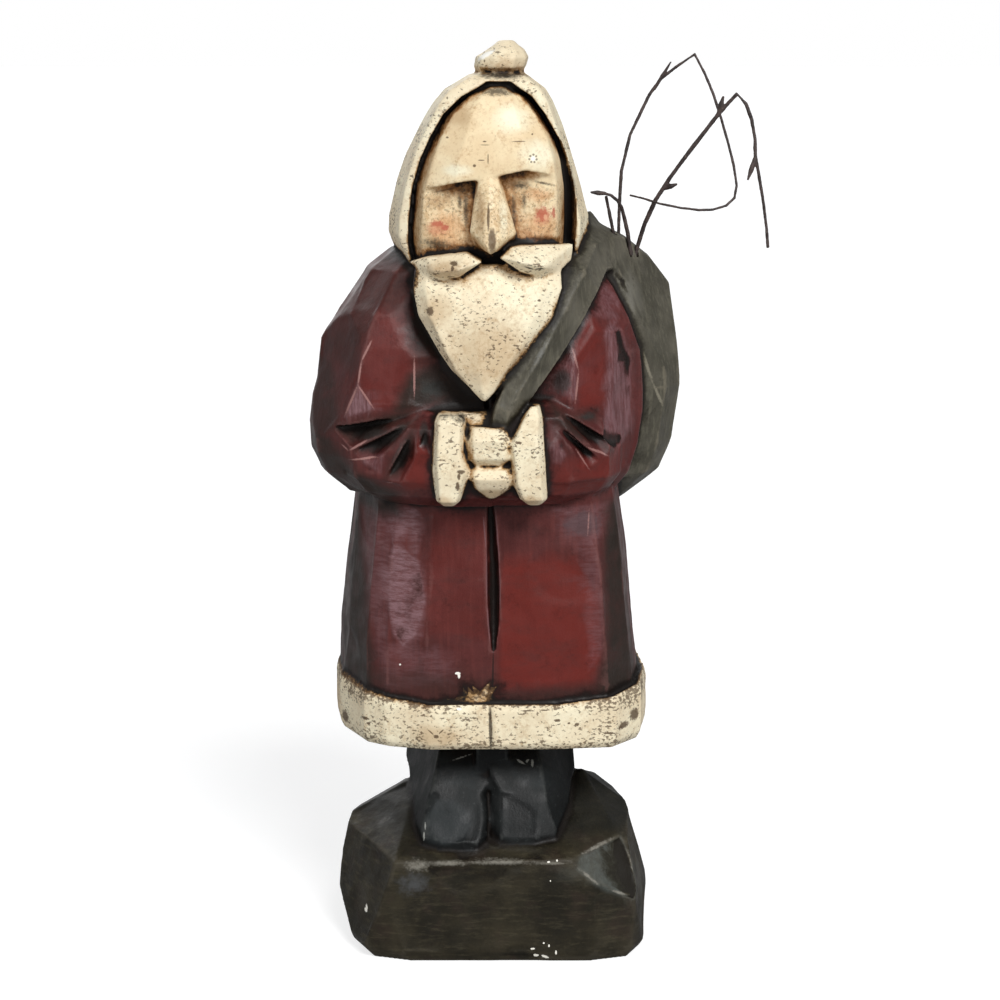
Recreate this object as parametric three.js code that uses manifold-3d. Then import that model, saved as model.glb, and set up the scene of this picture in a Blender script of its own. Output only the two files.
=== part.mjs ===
// A painted, cast figurine of Father Christmas that copies a whittled wooden one.
// He wears a hooded coat with fur edges, clasps the neck of a sack that hangs over his
// left shoulder, and stands on a rock. The figure and its rock are one casting.
// Four dry twigs are stuck in holes in the top of the sack.
//
// Millimetres, +Z up. The origin is the centre of the rock's flat underside.
// He faces -Y, so +X is his left hand side, where the sack is.

import * as THREE from "three";
import { ConvexGeometry } from "three/addons/geometries/ConvexGeometry.js";
import { mergeVertices } from "three/addons/utils/BufferGeometryUtils.js";
import Module from "manifold-3d";

const wasm = await Module();
wasm.setup();

// Driving dimensions

const HEIGHT = 280; // floor to the top of the tassel
const ROCK = { belly: 15, ridge: 32.2, top: 49, front: -41, back: 37 };
const HEM = { low: 66.3, high: 80.6, front: -37.4, back: 36 };
const SKIRT = { front: -35.2, back: 33.5, waist: 142 };
const SLEEVE = { low: 142.4, lap: 170, front: -37 }; // lap: upper arm over forearm
const CUFF = { low: 144.8, high: 172, front: -50.5 };
const BEARD = { tip: 175.6, front: -47 };
const FACE = { chin: 212, brow: 240.1, noseTip: 218.7, front: -36.5, floor: -17 };
const HOOD = { low: 206, top: 268.5, front: -29, back: 22 };
const TASSEL = { low: 267.5 };
const TWIG_GAP = 0.35; // between a twig's foot and its hole

// Solids and how they join

function solidFrom(geometry) {
  const bare = geometry.index ? geometry.toNonIndexed() : geometry.clone();
  bare.deleteAttribute("normal");
  bare.deleteAttribute("uv");
  const merged = mergeVertices(bare, 1e-4);
  return new wasm.Manifold(
    new wasm.Mesh({
      numProp: 3,
      vertProperties: merged.attributes.position.array,
      triVerts: new Uint32Array(merged.index.array),
    }),
  );
}

function geometryFrom(solid) {
  const mesh = solid.getMesh();
  const geometry = new THREE.BufferGeometry();
  geometry.setAttribute("position", new THREE.BufferAttribute(mesh.vertProperties, 3));
  geometry.setIndex(new THREE.BufferAttribute(mesh.triVerts, 1));
  const faceted = geometry.toNonIndexed();
  faceted.computeVertexNormals();
  return faceted;
}

const vectors = (points) => points.map((point) => new THREE.Vector3(...point));
const join = (...solids) => solids.reduce((whole, next) => whole.add(next));
const cut = (form, ...cutters) => cutters.reduce((rest, cutter) => rest.subtract(cutter), form);
const hull = (points) => solidFrom(new ConvexGeometry(vectors(points)));

// A closed skin over rings that all have the same number of points, with a cap on each end.
function skin(rings) {
  const sides = rings[0].length;
  const points = rings.flat();
  const middle = (ring) =>
    ring.reduce((sum, p) => sum.add(p), new THREE.Vector3()).divideScalar(ring.length);
  points.push(middle(rings[0]), middle(rings.at(-1)));
  const [firstCap, lastCap] = [points.length - 2, points.length - 1];
  const lastRing = (rings.length - 1) * sides;
  const faces = [];
  for (let i = 0; i < sides; i++) {
    const next = (i + 1) % sides;
    faces.push(firstCap, next, i, lastCap, lastRing + i, lastRing + next);
    for (let r = 0; r < rings.length - 1; r++) {
      const [low, high] = [r * sides, (r + 1) * sides];
      faces.push(low + i, low + next, high + next, low + i, high + next, high + i);
    }
  }
  const geometry = new THREE.BufferGeometry().setFromPoints(points);
  geometry.setIndex(faces);
  const solid = solidFrom(geometry);
  return solid.volume() > 0 ? solid : solidFrom(geometry.setIndex(faces.reverse()));
}

// A plan is a level section at unit size, counter-clockwise from +X, as [u, v] pairs.
// A level is [z, left, right, front, back]: the plan is drawn out to those four reaches.
// lift raises points of a level by their place in it.
function tower(plan, levels, lift = () => 0) {
  const rings = levels.map(([z, left, right, front, back]) =>
    plan.map(([u, v]) => {
      const x = (left + right) / 2 + (u * (right - left)) / 2;
      const y = (front + back) / 2 + (v * (back - front)) / 2;
      return new THREE.Vector3(x, y, z + lift(x, y, z));
    }),
  );
  return skin(rings);
}

// A plan that is a rounded rectangle. The power sets how square it is.
function roundPlan(sides, power, turn = 0.5) {
  return Array.from({ length: sides }, (_, i) => {
    const angle = ((i + turn) / sides) * 2 * Math.PI;
    const ease = (value) => Math.sign(value) * Math.abs(value) ** (2 / power);
    return [ease(Math.cos(angle)), ease(Math.sin(angle))];
  });
}

const SQUARE_PLAN = [[1, -1], [1, 1], [-1, 1], [-1, -1]];
const mirrorPlan = (plan) => plan.map(([u, v]) => [-u, v]).reverse();

// A form that follows a path. Each stop is [x, y, z, wide, tall]: its place and its half
// sizes, across the path and along the direction up. A form with few sides is a gouge cut.
function along(stops, sides, up, turn = 0.5) {
  const places = vectors(stops.map((stop) => stop.slice(0, 3)));
  const upward = new THREE.Vector3(...up);
  const rings = stops.map(([, , , wide, tall], i) => {
    const ahead = places[Math.min(i + 1, places.length - 1)];
    const behind = places[Math.max(i - 1, 0)];
    const way = ahead.clone().sub(behind).normalize();
    const across = new THREE.Vector3().crossVectors(way, upward).normalize();
    const rise = new THREE.Vector3().crossVectors(across, way).normalize();
    return Array.from({ length: sides }, (_, k) => {
      const angle = ((k + turn) / sides) * 2 * Math.PI;
      return places[i]
        .clone()
        .addScaledVector(across, wide * Math.cos(angle))
        .addScaledVector(rise, tall * Math.sin(angle));
    });
  });
  return skin(rings);
}

// Knife work

// One flat cut through three points. What is on the far side from the core goes.
function pare(form, core, ...cuts) {
  const inside = new THREE.Vector3(...core);
  return cuts.reduce((rest, points) => {
    const [a, b, c] = vectors(points);
    const facing = b.clone().sub(a).cross(c.clone().sub(a)).normalize();
    if (facing.dot(inside) < facing.dot(a)) facing.negate();
    return rest.trimByPlane(facing.toArray(), facing.dot(a));
  }, form);
}

// A flat facet given by the way it faces, and how deep it goes into the form there.
function shave(form, ...facets) {
  return facets.reduce((rest, [x, y, z, deep]) => {
    const inward = new THREE.Vector3(x, y, z).normalize().negate();
    const { vertProperties } = rest.getMesh();
    let reach = Infinity;
    for (let i = 0; i < vertProperties.length; i += 3) {
      const point = new THREE.Vector3().fromArray(vertProperties, i);
      reach = Math.min(reach, point.dot(inward));
    }
    return rest.trimByPlane(inward.toArray(), reach + deep);
  }, form);
}

// Facets left by roughing out: a spiral of directions all round, of which some are kept.
// They differ in depth, so that no two facets match.
function roughOut(form, count, deep, keep) {
  const goldenAngle = Math.PI * (3 - Math.sqrt(5));
  const facets = Array.from({ length: count }, (_, i) => {
    const z = 1 - (2 * i + 1) / count;
    const level = Math.sqrt(1 - z * z);
    const [x, y] = [level * Math.cos(i * goldenAngle), level * Math.sin(i * goldenAngle)];
    return [x, y, z, deep * (0.75 + 0.25 * Math.sin(1.7 * i))];
  });
  return shave(form, ...facets.filter(([x, y, z]) => keep(x, y, z)));
}

// A fold in the cloth, cut with two or three strokes. It starts thin at the crook, where
// the cloth bunches, and runs out to the ends. Its deepest line lies close under the
// first end, so the wall there is steep and the opposite wall is broad and shallow.
function notch(deep, crook, ...ends) {
  const clear = new THREE.Vector3(0, -20, 0);
  const [start, upper, ...rest] = vectors([crook, ...ends]);
  const root = start.clone().lerp(upper, 0.55).lerp(rest[0], 0.22);
  root.y += deep;
  const outline = [start, upper, ...rest];
  const inFront = outline.map((point) => point.clone().add(clear));
  return hull([...outline, ...inFront, root].map((point) => point.toArray()));
}

// Rock

function makeRock() {
  const { belly, ridge, top, front, back } = ROCK;
  const block = tower(roundPlan(12, 6), [
    [0, -41, 46.4, front + 0.4, 35],
    [3, -44, 48.4, front - 0.6, back],
    [belly, -49.2, 49.8, front - 0.3, back + 1],
    [ridge + 1, -48, 48.6, front + 0.3, back],
    [top - 8, -46, 46, front + 8, back - 2],
    [top + 2, -40, 40, front + 17, back - 4],
  ]);
  const leftEnd = [-30, -40.6, ridge - 0.6]; // of the ridge along the top of the front
  const rightEnd = [23.3, -41, ridge];
  const peak = [39.2, -28, 36.6];
  return pare(
    block,
    [0, 0, 20],
    [leftEnd, rightEnd, [0, -2, top]],
    [leftEnd, [-46, -9, 33.8], [-24, -4, top - 1.4]],
    [leftEnd, [-48.8, -10, 20], [-41, -34.5, 5]],
    [[-46, -5, 33.8], [-49, -6, 19], [-44, 26, 24]],
    [[-44, -4, 37.7], [-28, -4, 46.8], [-36, 28, 34]],
    [rightEnd, peak, [25, -4, top]],
    [rightEnd, peak, [44.6, -37, 18.6]],
    [[44.6, -38, 18], [46.6, -24, 20], [46.6, -34, 2]],
    [peak, [29, -2, top + 0.8], [42.8, -4, 40.6]],
    [[42.8, -4, 40.6], [29, 0, top + 0.8], [36, 30, 38]],
    [[49.8, -8, 12.5], [46.4, -21, 21], [45.4, -6, 31.6]],
    [[45.4, -6, 31.6], [42.6, -4, 40.6], [41, 28, 30]],
    [[-20, 0, top - 0.6], [20, 0, top + 0.6], [0, 34, 37]],
    [[-30, 36, 20], [-46, 18, 20], [-34, 28, 34]],
    [[34, 36, 18], [48, 18, 18], [36, 28, 34]],
  );
}

// Boots: a folded shaft, then an instep and toe that come out from under it. The casting
// is closed between them, with only a groove in front and one behind.

const BOOT_PLAN = [
  [1, -0.86], [1, 1], [-1, 1], [-1, -0.4], [-0.74, -0.9], [-0.2, -1], [0.72, -1],
];

// left and right are the sides of the boot's shaft, and toe is how far its tip comes out.
// The two cuts in it slope the instep's outer side and its front.
function makeBoot(left, right, toe, outerSide, instep) {
  const boot = tower(BOOT_PLAN, [
    [24, left + 4, right, toe + 0.6, 8],
    [37.6, left + 3.4, right, toe + 1, 10],
    [42, left + 2.6, right, toe + 3, 11],
    [49.4, left + 1.2, right, -27.6, 12],
    [51, left, right + 0.4, -27.4, 13],
    [58, left + 0.6, right + 0.4, -26.6, 13],
    [HEM.low + 8, left + 1, right + 0.4, -26, 13],
  ]);
  return pare(boot, [(left + right) / 2, 0, 40], outerSide, instep);
}

const mirrorX = (solid) => solid.mirror([1, 0, 0]);

function makeBoots() {
  const right = makeBoot(
    -28, -1.5, -36.6,
    [[-23, -34, 36], [-19, -29.5, 49], [-25, -20, 40]],
    [[-21, -36, 37.5], [-6, -36, 36], [-13, -27, 50]],
  );
  const left = makeBoot(
    -26.4, 0.5, -34.4,
    [[-21, -32, 36], [-16, -29, 49], [-24, -20, 42]],
    [[-18, -34, 38], [-4, -34, 40], [-11, -27, 50]],
  );
  const web = tower(SQUARE_PLAN, [
    [24, -5, 5, -30, 5],
    [42, -5, 5, -29, 7],
    [50, -5, 5, -23, 9],
    [HEM.low + 8, -5, 5, -22, 9],
  ]);
  return join(right, mirrorX(left), web);
}

// Coat: broad flat panels in front, and sides that turn sharply away.

const COAT_PLAN = [
  [1, -0.12], [0.96, 0.45], [0.72, 0.86], [0.2, 1], [-0.42, 0.97], [-0.84, 0.72],
  [-1, 0.15], [-0.96, -0.26], [-0.79, -0.75], [-0.65, -0.89], [-0.38, -1], [0.42, -0.99],
  [0.78, -0.93], [0.95, -0.62],
];

function makeSkirt() {
  const { front, back, waist } = SKIRT;
  const coat = tower(COAT_PLAN, [
    [HEM.low + 6, -47.5, 45, front + 1, back],
    [86, -48.6, 45.8, front, back],
    [100, -48.2, 44.8, front, back],
    [118, -46.2, 43.3, front + 0.6, back - 0.5],
    [waist - 2, -43.4, 39.9, front + 2, back - 2],
    [waist + 16, -40, 37, front + 0.4, 31],
    [188, -38, 36, front + 2.6, 29],
    [202, -34, 33, front + 6, 26],
    [HOOD.low + 10, -24, 24, -16, 18],
  ]);
  return pare(
    coat,
    [0, 0, 120],
    [[-44, -18, 96], [-47.6, 0, 100], [-41, -14, 140]],
    [[31, -32.6, 138], [41, -18, 138], [36.5, -30.4, 108]],
    [[44.6, -6, 96], [42.5, -21, 98], [40, -8, 138]],
  );
}

// The fur hem is lowest in the middle of the front, and climbs towards the sides.
function makeHem() {
  const { low, high, front, back } = HEM;
  const edge = (z, inset) => [z, -49.9 + inset, 48.8 - inset, front + inset, back - inset];
  const climb = (x, y, z) => {
    const share = (z - low) / (high - low);
    return share * (4.2 * Math.min(Math.abs(x / 46) ** 1.6, 1) + 0.045 * (y - front));
  };
  const levels = [
    edge(low, 1.6),
    edge(low + 1.8, 0.3),
    edge(low + 4.4, 0),
    edge(high - 3, 0),
    edge(high - 0.7, 0.7),
    edge(high - 1.6, 3),
  ];
  return tower(COAT_PLAN, levels, climb);
}

// The coat's front edges part in a slit, and a thin line goes on from it through the hem.
function makeSlit() {
  const middle = 0.3;
  const { front, waist } = SKIRT;
  return join(
    along(
      [
        [middle - 0.8, front + 2.2, waist + 3, 0.5, 1.8],
        [middle - 0.5, front + 1.4, 138, 1.3, 3.2],
        [middle - 0.1, front + 0.4, 126, 1.9, 4.2],
        [middle + 0.2, front, 116, 2.1, 4.6],
        [middle + 0.3, front - 0.3, 106, 1.7, 4],
        [middle + 0.2, front - 0.3, 97, 0.6, 2],
      ],
      6,
      [0, -1, 0],
    ),
    along(
      [
        [middle + 0.2, front, 99, 0.45, 1.3],
        [middle - 0.2, front, 80, 0.45, 1.3],
      ],
      4,
      [0, -1, 0],
    ),
    along(
      [
        [middle - 0.8, HEM.front, 83, 1.1, 1.7],
        [middle - 0.2, HEM.front, 64, 0.8, 1.4],
      ],
      4,
      [0, -1, 0],
    ),
  );
}

// Sleeves. The upper arm comes down in front of the forearm and laps over it.

const ARM_PLAN = [
  [1, -0.9], [1, 0.7], [0.1, 1], [-0.62, 0.86], [-0.95, 0.4], [-1, -0.1],
  [-0.9, -0.5], [-0.46, -0.96], [0.14, -1],
];
const FOREARM_PLAN = [
  [1, -1], [1, 1], [-1, 1], [-1, 0.1], [-0.8, -0.36], [-0.2, -0.78], [0.46, -1],
];

function makeRightSleeve() {
  const { low, lap, front } = SLEEVE;
  const upper = tower(ARM_PLAN, [
    [low + 1.4, -45.4, -6, front + 8, 10],
    [150.2, -52.8, -6, front + 4, 14],
    [156.5, -55.8, -4, front + 1.6, 18],
    [lap - 5, -56.2, -2, front, 21],
    [lap + 3, -55.2, -2, front - 1, 22],
    [178, -53.8, -2, front, 23],
    [190, -52.6, -2, front + 2, 23],
    [199.5, -46.9, -2, front + 5, 21],
    [211.6, -38.6, -2, front + 13, 18],
    [217, -31.6, -2, front + 20, 13],
    [220, -18, -2, front + 26, 6],
  ]);
  const paredUpper = pare(
    upper,
    [-25, 0, 180],
    [[-39.8, -36.4, 181], [-44.2, -34, 169], [-35.3, -37.4, 171]],
    [[-35.8, -35.4, 192.2], [-22.9, -36, 185.7], [-30, -27, 209]],
    [[-39.8, -36, 182], [-35.8, -35, 192], [-50, -20, 189]],
    [[-44.2, -34, 169], [-39.8, -36.4, 180], [-54.5, -12, 176]],
    [[-47, -10, 199.5], [-38.5, -10, 211.5], [-44, -22, 197]],
  );
  const forearm = tower(FOREARM_PLAN, [
    [low, -36, 0, -38, -8],
    [low + 3.6, -42, 0, -43.6, -8],
    [151, -46, 0, -46.4, -8],
    [160, -46, 0, -47, -8],
    [167, -43, 0, -45.6, -8],
    [lap + 1.4, -38, 0, -41, -8],
  ]);
  const rough = roughOut(paredUpper, 60, 1.6, (x, y) => y > 0.3 && x < 0.5);
  return join(rough, forearm);
}

function makeLeftSleeve() {
  const { low, lap, front } = SLEEVE;
  const plan = [
    [1, -0.42], [1, 0.3], [0.7, 0.9], [-0.1, 1], [-1, 0.7], [-1, -0.86],
    [0.02, -1], [0.44, -0.9],
  ];
  const upper = tower(plan, [
    [low + 2, 2, 37.6, front + 9, 8],
    [150, 2, 42, front + 6, 10],
    [158, 2, 45, front + 3, 12],
    [lap - 2, 2, 46.4, front + 1, 14],
    [lap + 5, 2, 46.4, front, 15],
    [186.6, 2, 45.5, front + 3, 15],
    [197.3, 2, 41.6, front + 8, 14],
    [206, 2, 37, front + 13, 12],
    [213, 2, 32, front + 20, 10],
  ]);
  const paredUpper = pare(
    upper,
    [15, 0, 180],
    [[25, -34, 186], [24.6, -36, 173.5], [34.4, -25, 198]],
    [[34, -29, 195.6], [43.5, -15, 194], [34.4, -30, 170]],
    [[25, -34, 186], [34, -27, 196], [16, -33, 192]],
  );
  const forearm = tower(mirrorPlan(FOREARM_PLAN), [
    [low + 0.2, 0, 32, -37.6, -8],
    [low + 3.8, 0, 36, -43, -8],
    [151, 0, 39.4, -46, -8],
    [162, 0, 39.4, -46.6, -8],
    [lap, 0, 36, -45, -8],
    [lap + 4.6, 0, 31, -40, -8],
  ]);
  return join(paredUpper, forearm);
}

// Folds fan out from the crook of each elbow. The first one on each side undercuts the
// upper arm.
function makeFolds() {
  return [
    notch(5, [-21.6, -42.6, 171.4], [-48.6, -28.4, 165.4], [-42, -33.6, 160]),
    notch(4.4, [-21.8, -43.2, 170], [-41.4, -34.2, 159.2], [-36.6, -37, 155]),
    notch(3.8, [-22, -43.6, 169], [-32.2, -39.8, 150.6], [-27.4, -42, 150.4], [-23, -44, 158]),
    notch(3.4, [-19.6, -45, 171], [-22, -44.4, 161.4], [-17.4, -46.2, 158.6], [-17, -46, 168]),
    notch(4.6, [15.6, -43.6, 175.4], [36.4, -33, 161.4], [34, -35, 157]),
    notch(4.2, [15.4, -44.8, 172.4], [33, -36, 156], [29.6, -38.6, 153.8]),
    notch(3, [22.6, -43, 164.4], [29.8, -39.6, 154.4], [27.2, -41.2, 152.4]),
    notch(3.4, [17, -42, 176], [37, -29.4, 170.6], [36.8, -31, 166.8]),
    notch(2.8, [19, -45.2, 167], [22.2, -43.8, 163], [21.8, -44.4, 155.6], [19.2, -45.2, 155]),
  ];
}

// Fur cuffs, and the clasped hands between them

const CUFF_PLAN = [[1, -0.7], [1, 1], [-1, 1], [-1, -0.7], [-0.7, -1], [0.62, -1]];

function makeCuffs() {
  const { low, high, front } = CUFF;
  const right = tower(CUFF_PLAN, [
    [low - 0.4, -14.6, -10.6, front + 3.4, -28],
    [low + 1.2, -16.4, -9.2, front + 0.6, -28],
    [155, -17.6, -6, front - 0.3, -28],
    [161, -17.2, -8, front, -28],
    [high - 2.4, -16.8, -7.6, front + 1.4, -28],
    [high - 0.4, -15.8, -8.4, front + 3.6, -28],
  ]);
  const left = tower(CUFF_PLAN, [
    [low - 0.2, 10.6, 15, front + 3.4, -28],
    [low + 1.8, 8.4, 16.6, front + 0.6, -28],
    [151, 6.4, 16.4, front, -28],
    [163, 4.8, 15.6, front, -28],
    [high - 1, 9, 15, front + 1.6, -28],
    [high + 2.2, 11.2, 14.2, front + 4, -28],
  ]);
  return join(right, left);
}

function makeHands() {
  const { low, high, front } = CUFF;
  const upper = tower(CUFF_PLAN, [
    [156.6, -6, 5, front + 3, -32],
    [159, -7, 6.4, front + 0.4, -32],
    [164.6, -7, 5.6, front, -32],
    [168, -6.6, 4.8, front + 2.8, -32],
  ]);
  const lower = tower(CUFF_PLAN, [
    [146.4, -1.4, 1.2, front + 5, -32],
    [149.8, -5.6, 6, front + 2, -32],
    [153, -6.8, 7, front + 0.4, -32],
    [155.8, -6.6, 6.4, front + 2, -32],
  ]);
  const lap = tower(CUFF_PLAN, [
    [low, -13, 13, front + 9, -20],
    [high - 1, -13, 13, front + 9, -20],
  ]);
  return join(upper, lower, lap);
}

// Sack: its twisted neck comes forward over his left shoulder and down into his hands.

function makeSack() {
  const bag = tower(roundPlan(14, 2.7), [
    [129, 4, 32, 14, 34],
    [137, -2, 43, 0, 39],
    [146, -8, 53.6, -6, 42],
    [156, -10, 57.6, -8, 43],
    [173, -10, 60, -8, 43],
    [190, -8, 58.6, -8, 42],
    [204, -4, 56.6, -8, 38],
    [213, 2, 49.6, -8, 31],
    [219.5, 8, 41.6, -8, 23],
    [223.6, 14, 34, -6, 14],
  ]);
  const pared = pare(
    bag,
    [25, 15, 180],
    [[43.6, -8.2, 208], [45.6, -8.4, 188], [56.4, 4, 198]],
    [[49.5, -8.6, 177], [53, -8, 168], [59, 6, 176]],
    [[53, -6, 166], [49, -6, 147], [57, 8, 158]],
    [[42, -8, 211], [52, 4, 210], [55, 2, 202]],
    [[38, 26, 217], [52, 26, 205], [40, 38, 200]],
    [[57, 26, 190], [57, 28, 165], [44, 41, 176]],
    [[2, 34, 205], [16, 42, 190], [-4, 38, 180]],
    [[20, 40, 146], [44, 36, 146], [30, 32, 132]],
  );
  const neck = along(
    [
      [2.6, -43, 167, 4, 3.6],
      [4.4, -43.4, 172.6, 4.6, 4],
      [7.8, -41.6, 179, 5.6, 5],
      [14.4, -37.6, 190, 6.8, 5.6],
      [20, -32.4, 200, 7.8, 6.4],
      [24.6, -25.4, 208.6, 8.4, 6.8],
      [27.6, -15, 215, 9, 6],
      [30.4, -4, 217.6, 11, 6],
      [32, 8, 216, 13, 6],
    ],
    6,
    [0.35, -0.9, 0.3],
  );
  const rough = roughOut(pared, 60, 1.9, (x, y) => y > 0.3 || (y > 0 && x < -0.4));
  return join(rough, neck);
}

// Head

// The face is an egg with flat sides. Each level is [z, left, right, front].
const FACE_LEVELS = [
  [FACE.chin, -22.6, 20.6, -31],
  [220, -24.2, 21.4, -34],
  [227, -24, 21.8, -35.6],
  [237, -22.8, 21.6, FACE.front],
  [245, -20.4, 20.4, FACE.front],
  [252, -17.2, 18.2, -35.2],
  [258.5, -13.4, 14.4, -33],
  [264, -7.6, 10.2, -30],
  [266.6, -2.6, 6, -27.4],
];
const FACE_PLAN = [
  [1, -0.1], [1, 1], [-1, 1], [-1, -0.1], [-0.86, -0.66], [-0.46, -0.97], [0.02, -1],
  [0.5, -0.96], [0.9, -0.62],
];

// The same egg, a little larger, is the opening of the hood, so that a deep crack is
// left all round the face. The crack is wider beside his left cheek.
function makeFaceOpening() {
  const crack = 1;
  const drawnOut = -60;
  const levels = FACE_LEVELS.map(([z, left, right]) => {
    const slack = z < 246 ? 2.6 : 0.6;
    return [z, left - crack, right + crack + slack, drawnOut, FACE.floor];
  });
  const [top] = levels.slice(-1);
  levels.push([top[0] + crack + 0.4, top[1] + 2, top[2] - 2, drawnOut, FACE.floor]);
  levels.unshift([HOOD.low - 4, -22, 22, drawnOut, FACE.floor]);
  return tower(roundPlan(14, 8), levels);
}

// Under each brow the face is cut back to a ledge, and slopes out again to the cheek.
function eyeHollow(side, inner, crest, outer) {
  const near = -0.6 + side * 0.9;
  const far = side * 26;
  const away = -60;
  const top = [
    [near, -30.4, inner],
    [side * 10, -31.2, crest],
    [far, -31.4, outer],
  ];
  const drawn = top.map(([x, , z]) => [x, away, z]);
  const cheek = 217;
  const foot = [
    [near, -34.6, cheek],
    [far, -32.4, cheek],
    [near, away, cheek],
    [far, away, cheek],
  ];
  return hull([...top, ...drawn, ...foot]);
}

function makeNose() {
  const { brow, noseTip, front } = FACE;
  return hull([
    [-4.4, front + 5, brow],
    [2.8, front + 5, brow],
    [-3.6, front + 0.8, brow - 0.2],
    [2, front + 0.6, brow - 0.2],
    [-0.8, front - 0.6, brow - 0.4],
    [-0.9, front - 4.4, 232],
    [-1.8, front - 8.8, 221.4],
    [2.2, front - 8.4, 222.6],
    [-0.2, front - 8.6, noseTip],
    [-6.4, front - 2, 225],
    [7.4, front - 2, 224.6],
    [-5.8, front + 6, 220.6],
    [6.8, front + 6, 220.6],
  ]);
}

const HOOD_PLAN = [
  [1, -0.2], [0.98, 0.3], [0.7, 0.76], [0.26, 1], [-0.26, 1], [-0.7, 0.76], [-0.98, 0.3],
  [-1, -0.2], [-0.88, -0.96], [-0.76, -1], [0.8, -1], [0.9, -0.94],
];

function makeHood() {
  const { low, top, front, back } = HOOD;
  const hood = tower(HOOD_PLAN, [
    [low, -25, 25, front + 10, back - 2],
    [215.4, -28.4, 28, front + 4, back],
    [219.4, -30.6, 29, front + 3, back],
    [222.6, -31.6, 29.6, front + 2.4, back],
    [227.5, -31.4, 29.6, front + 2, back],
    [238.2, -28.9, 26.8, front + 0.6, back],
    [246.6, -26, 24.2, front, back - 1],
    [254.5, -22, 21.6, front - 0.4, back - 4],
    [262, -17.6, 18.6, front - 0.2, back - 8],
    [265.6, -14.4, 16.4, front + 0.4, back - 12],
    [top, -9.4, 12.6, front + 1.6, back - 18],
    [top + 1.4, -7, 10.8, front + 5, back - 22],
  ]);
  const pared = pare(
    hood,
    [0, 0, 235],
    [[-26, 12, 232], [-20, 8, 250], [-13, 20, 236]],
    [[25, 12, 232], [19, 8, 250], [12, 20, 236]],
    [[-14, 12, 252], [14, 12, 252], [0, -4, 268]],
    [[-20, -8, 256.6], [-9, -8, 268], [-10, 8, 258]],
    [[20, -8, 256.6], [12, -8, 268], [11, 8, 258]],
  );
  const rough = roughOut(pared, 50, 1.5, (x, y, z) => y > 0.35 && z > -0.6);
  return cut(rough, makeFaceOpening());
}

// The tassel is folded forward on top of the hood, with a deep groove under it.
function makeTassel() {
  const { low } = TASSEL;
  return tower(roundPlan(10, 2.4, 0.2), [
    [low - 2, -9, 12, -27, -2],
    [low + 1.6, -7, 10.8, -25, -3],
    [low + 3.4, -4.8, 9.6, -22.6, -4],
    [low + 4.6, -5.4, 10.4, -24.4, -3],
    [low + 7.6, -5, 11.2, -24.6, -3],
    [low + 9.8, -1.8, 10, -22, -5],
    [HEIGHT, 2.2, 6.6, -17, -9],
  ]);
}

function makeMoustache() {
  const buried = -28;
  const right = [
    [-24.6, -32, 215.4], [-19, -38, 217.2], [-7.4, -41.5, 218.9], [-2.6, -42, 216.4],
    [-9.6, -42, 211.8], [-16.4, -39.5, 211], [-21, -36, 212.8],
    [-9.4, -46, 214.4], [-16.6, -42.6, 213.4],
  ];
  const left = [
    [24.4, -31.5, 220.6], [23.8, -31.5, 216], [20.6, -35, 213.2], [14.6, -39.5, 211.8],
    [8.4, -42, 213.4],
    [2.4, -42, 217.4], [5.4, -40.5, 220.8], [13, -38.5, 218.4],
    [8.6, -46, 216.6], [15.4, -43, 215],
  ];
  const lobe = (outline) =>
    hull([...outline, ...outline.map(([x, , z]) => [x * 0.96, buried, z])]);
  return join(lobe(right), lobe(left));
}

const BEARD_PLAN = [
  [1, -0.7], [1, 1], [-1, 1], [-1, -0.62], [-0.82, -0.9], [-0.1, -1], [0.7, -0.95],
];

function makeBeard() {
  const { tip, front } = BEARD;
  const buried = -12;
  return tower(BEARD_PLAN, [
    [tip, -3, -1.4, front + 0.8, buried],
    [177.6, -5.2, 1, front, buried],
    [184.3, -12, 6.6, front - 0.4, buried],
    [190, -15.8, 11.4, front, buried],
    [200.1, -21.6, 18.2, front + 2, buried],
    [208, -23.4, 20.8, front + 5, buried],
    [215, -22.6, 20.6, front + 9, buried],
  ]);
}

function makeHead() {
  const faceBack = -8;
  const egg = tower(
    FACE_PLAN,
    FACE_LEVELS.map((level) => [...level, faceBack]),
  );
  const face = cut(
    egg,
    eyeHollow(-1, FACE.brow, 239, 235.4),
    eyeHollow(1, FACE.brow + 0.4, 242.6, 239),
  );
  return join(makeHood(), makeTassel(), face, makeNose(), makeMoustache(), makeBeard());
}

// Twigs. Each runs from its foot in the sack, and thins towards its tip. A bud or a
// broken side shoot is a short rod from one point to the other.

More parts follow.
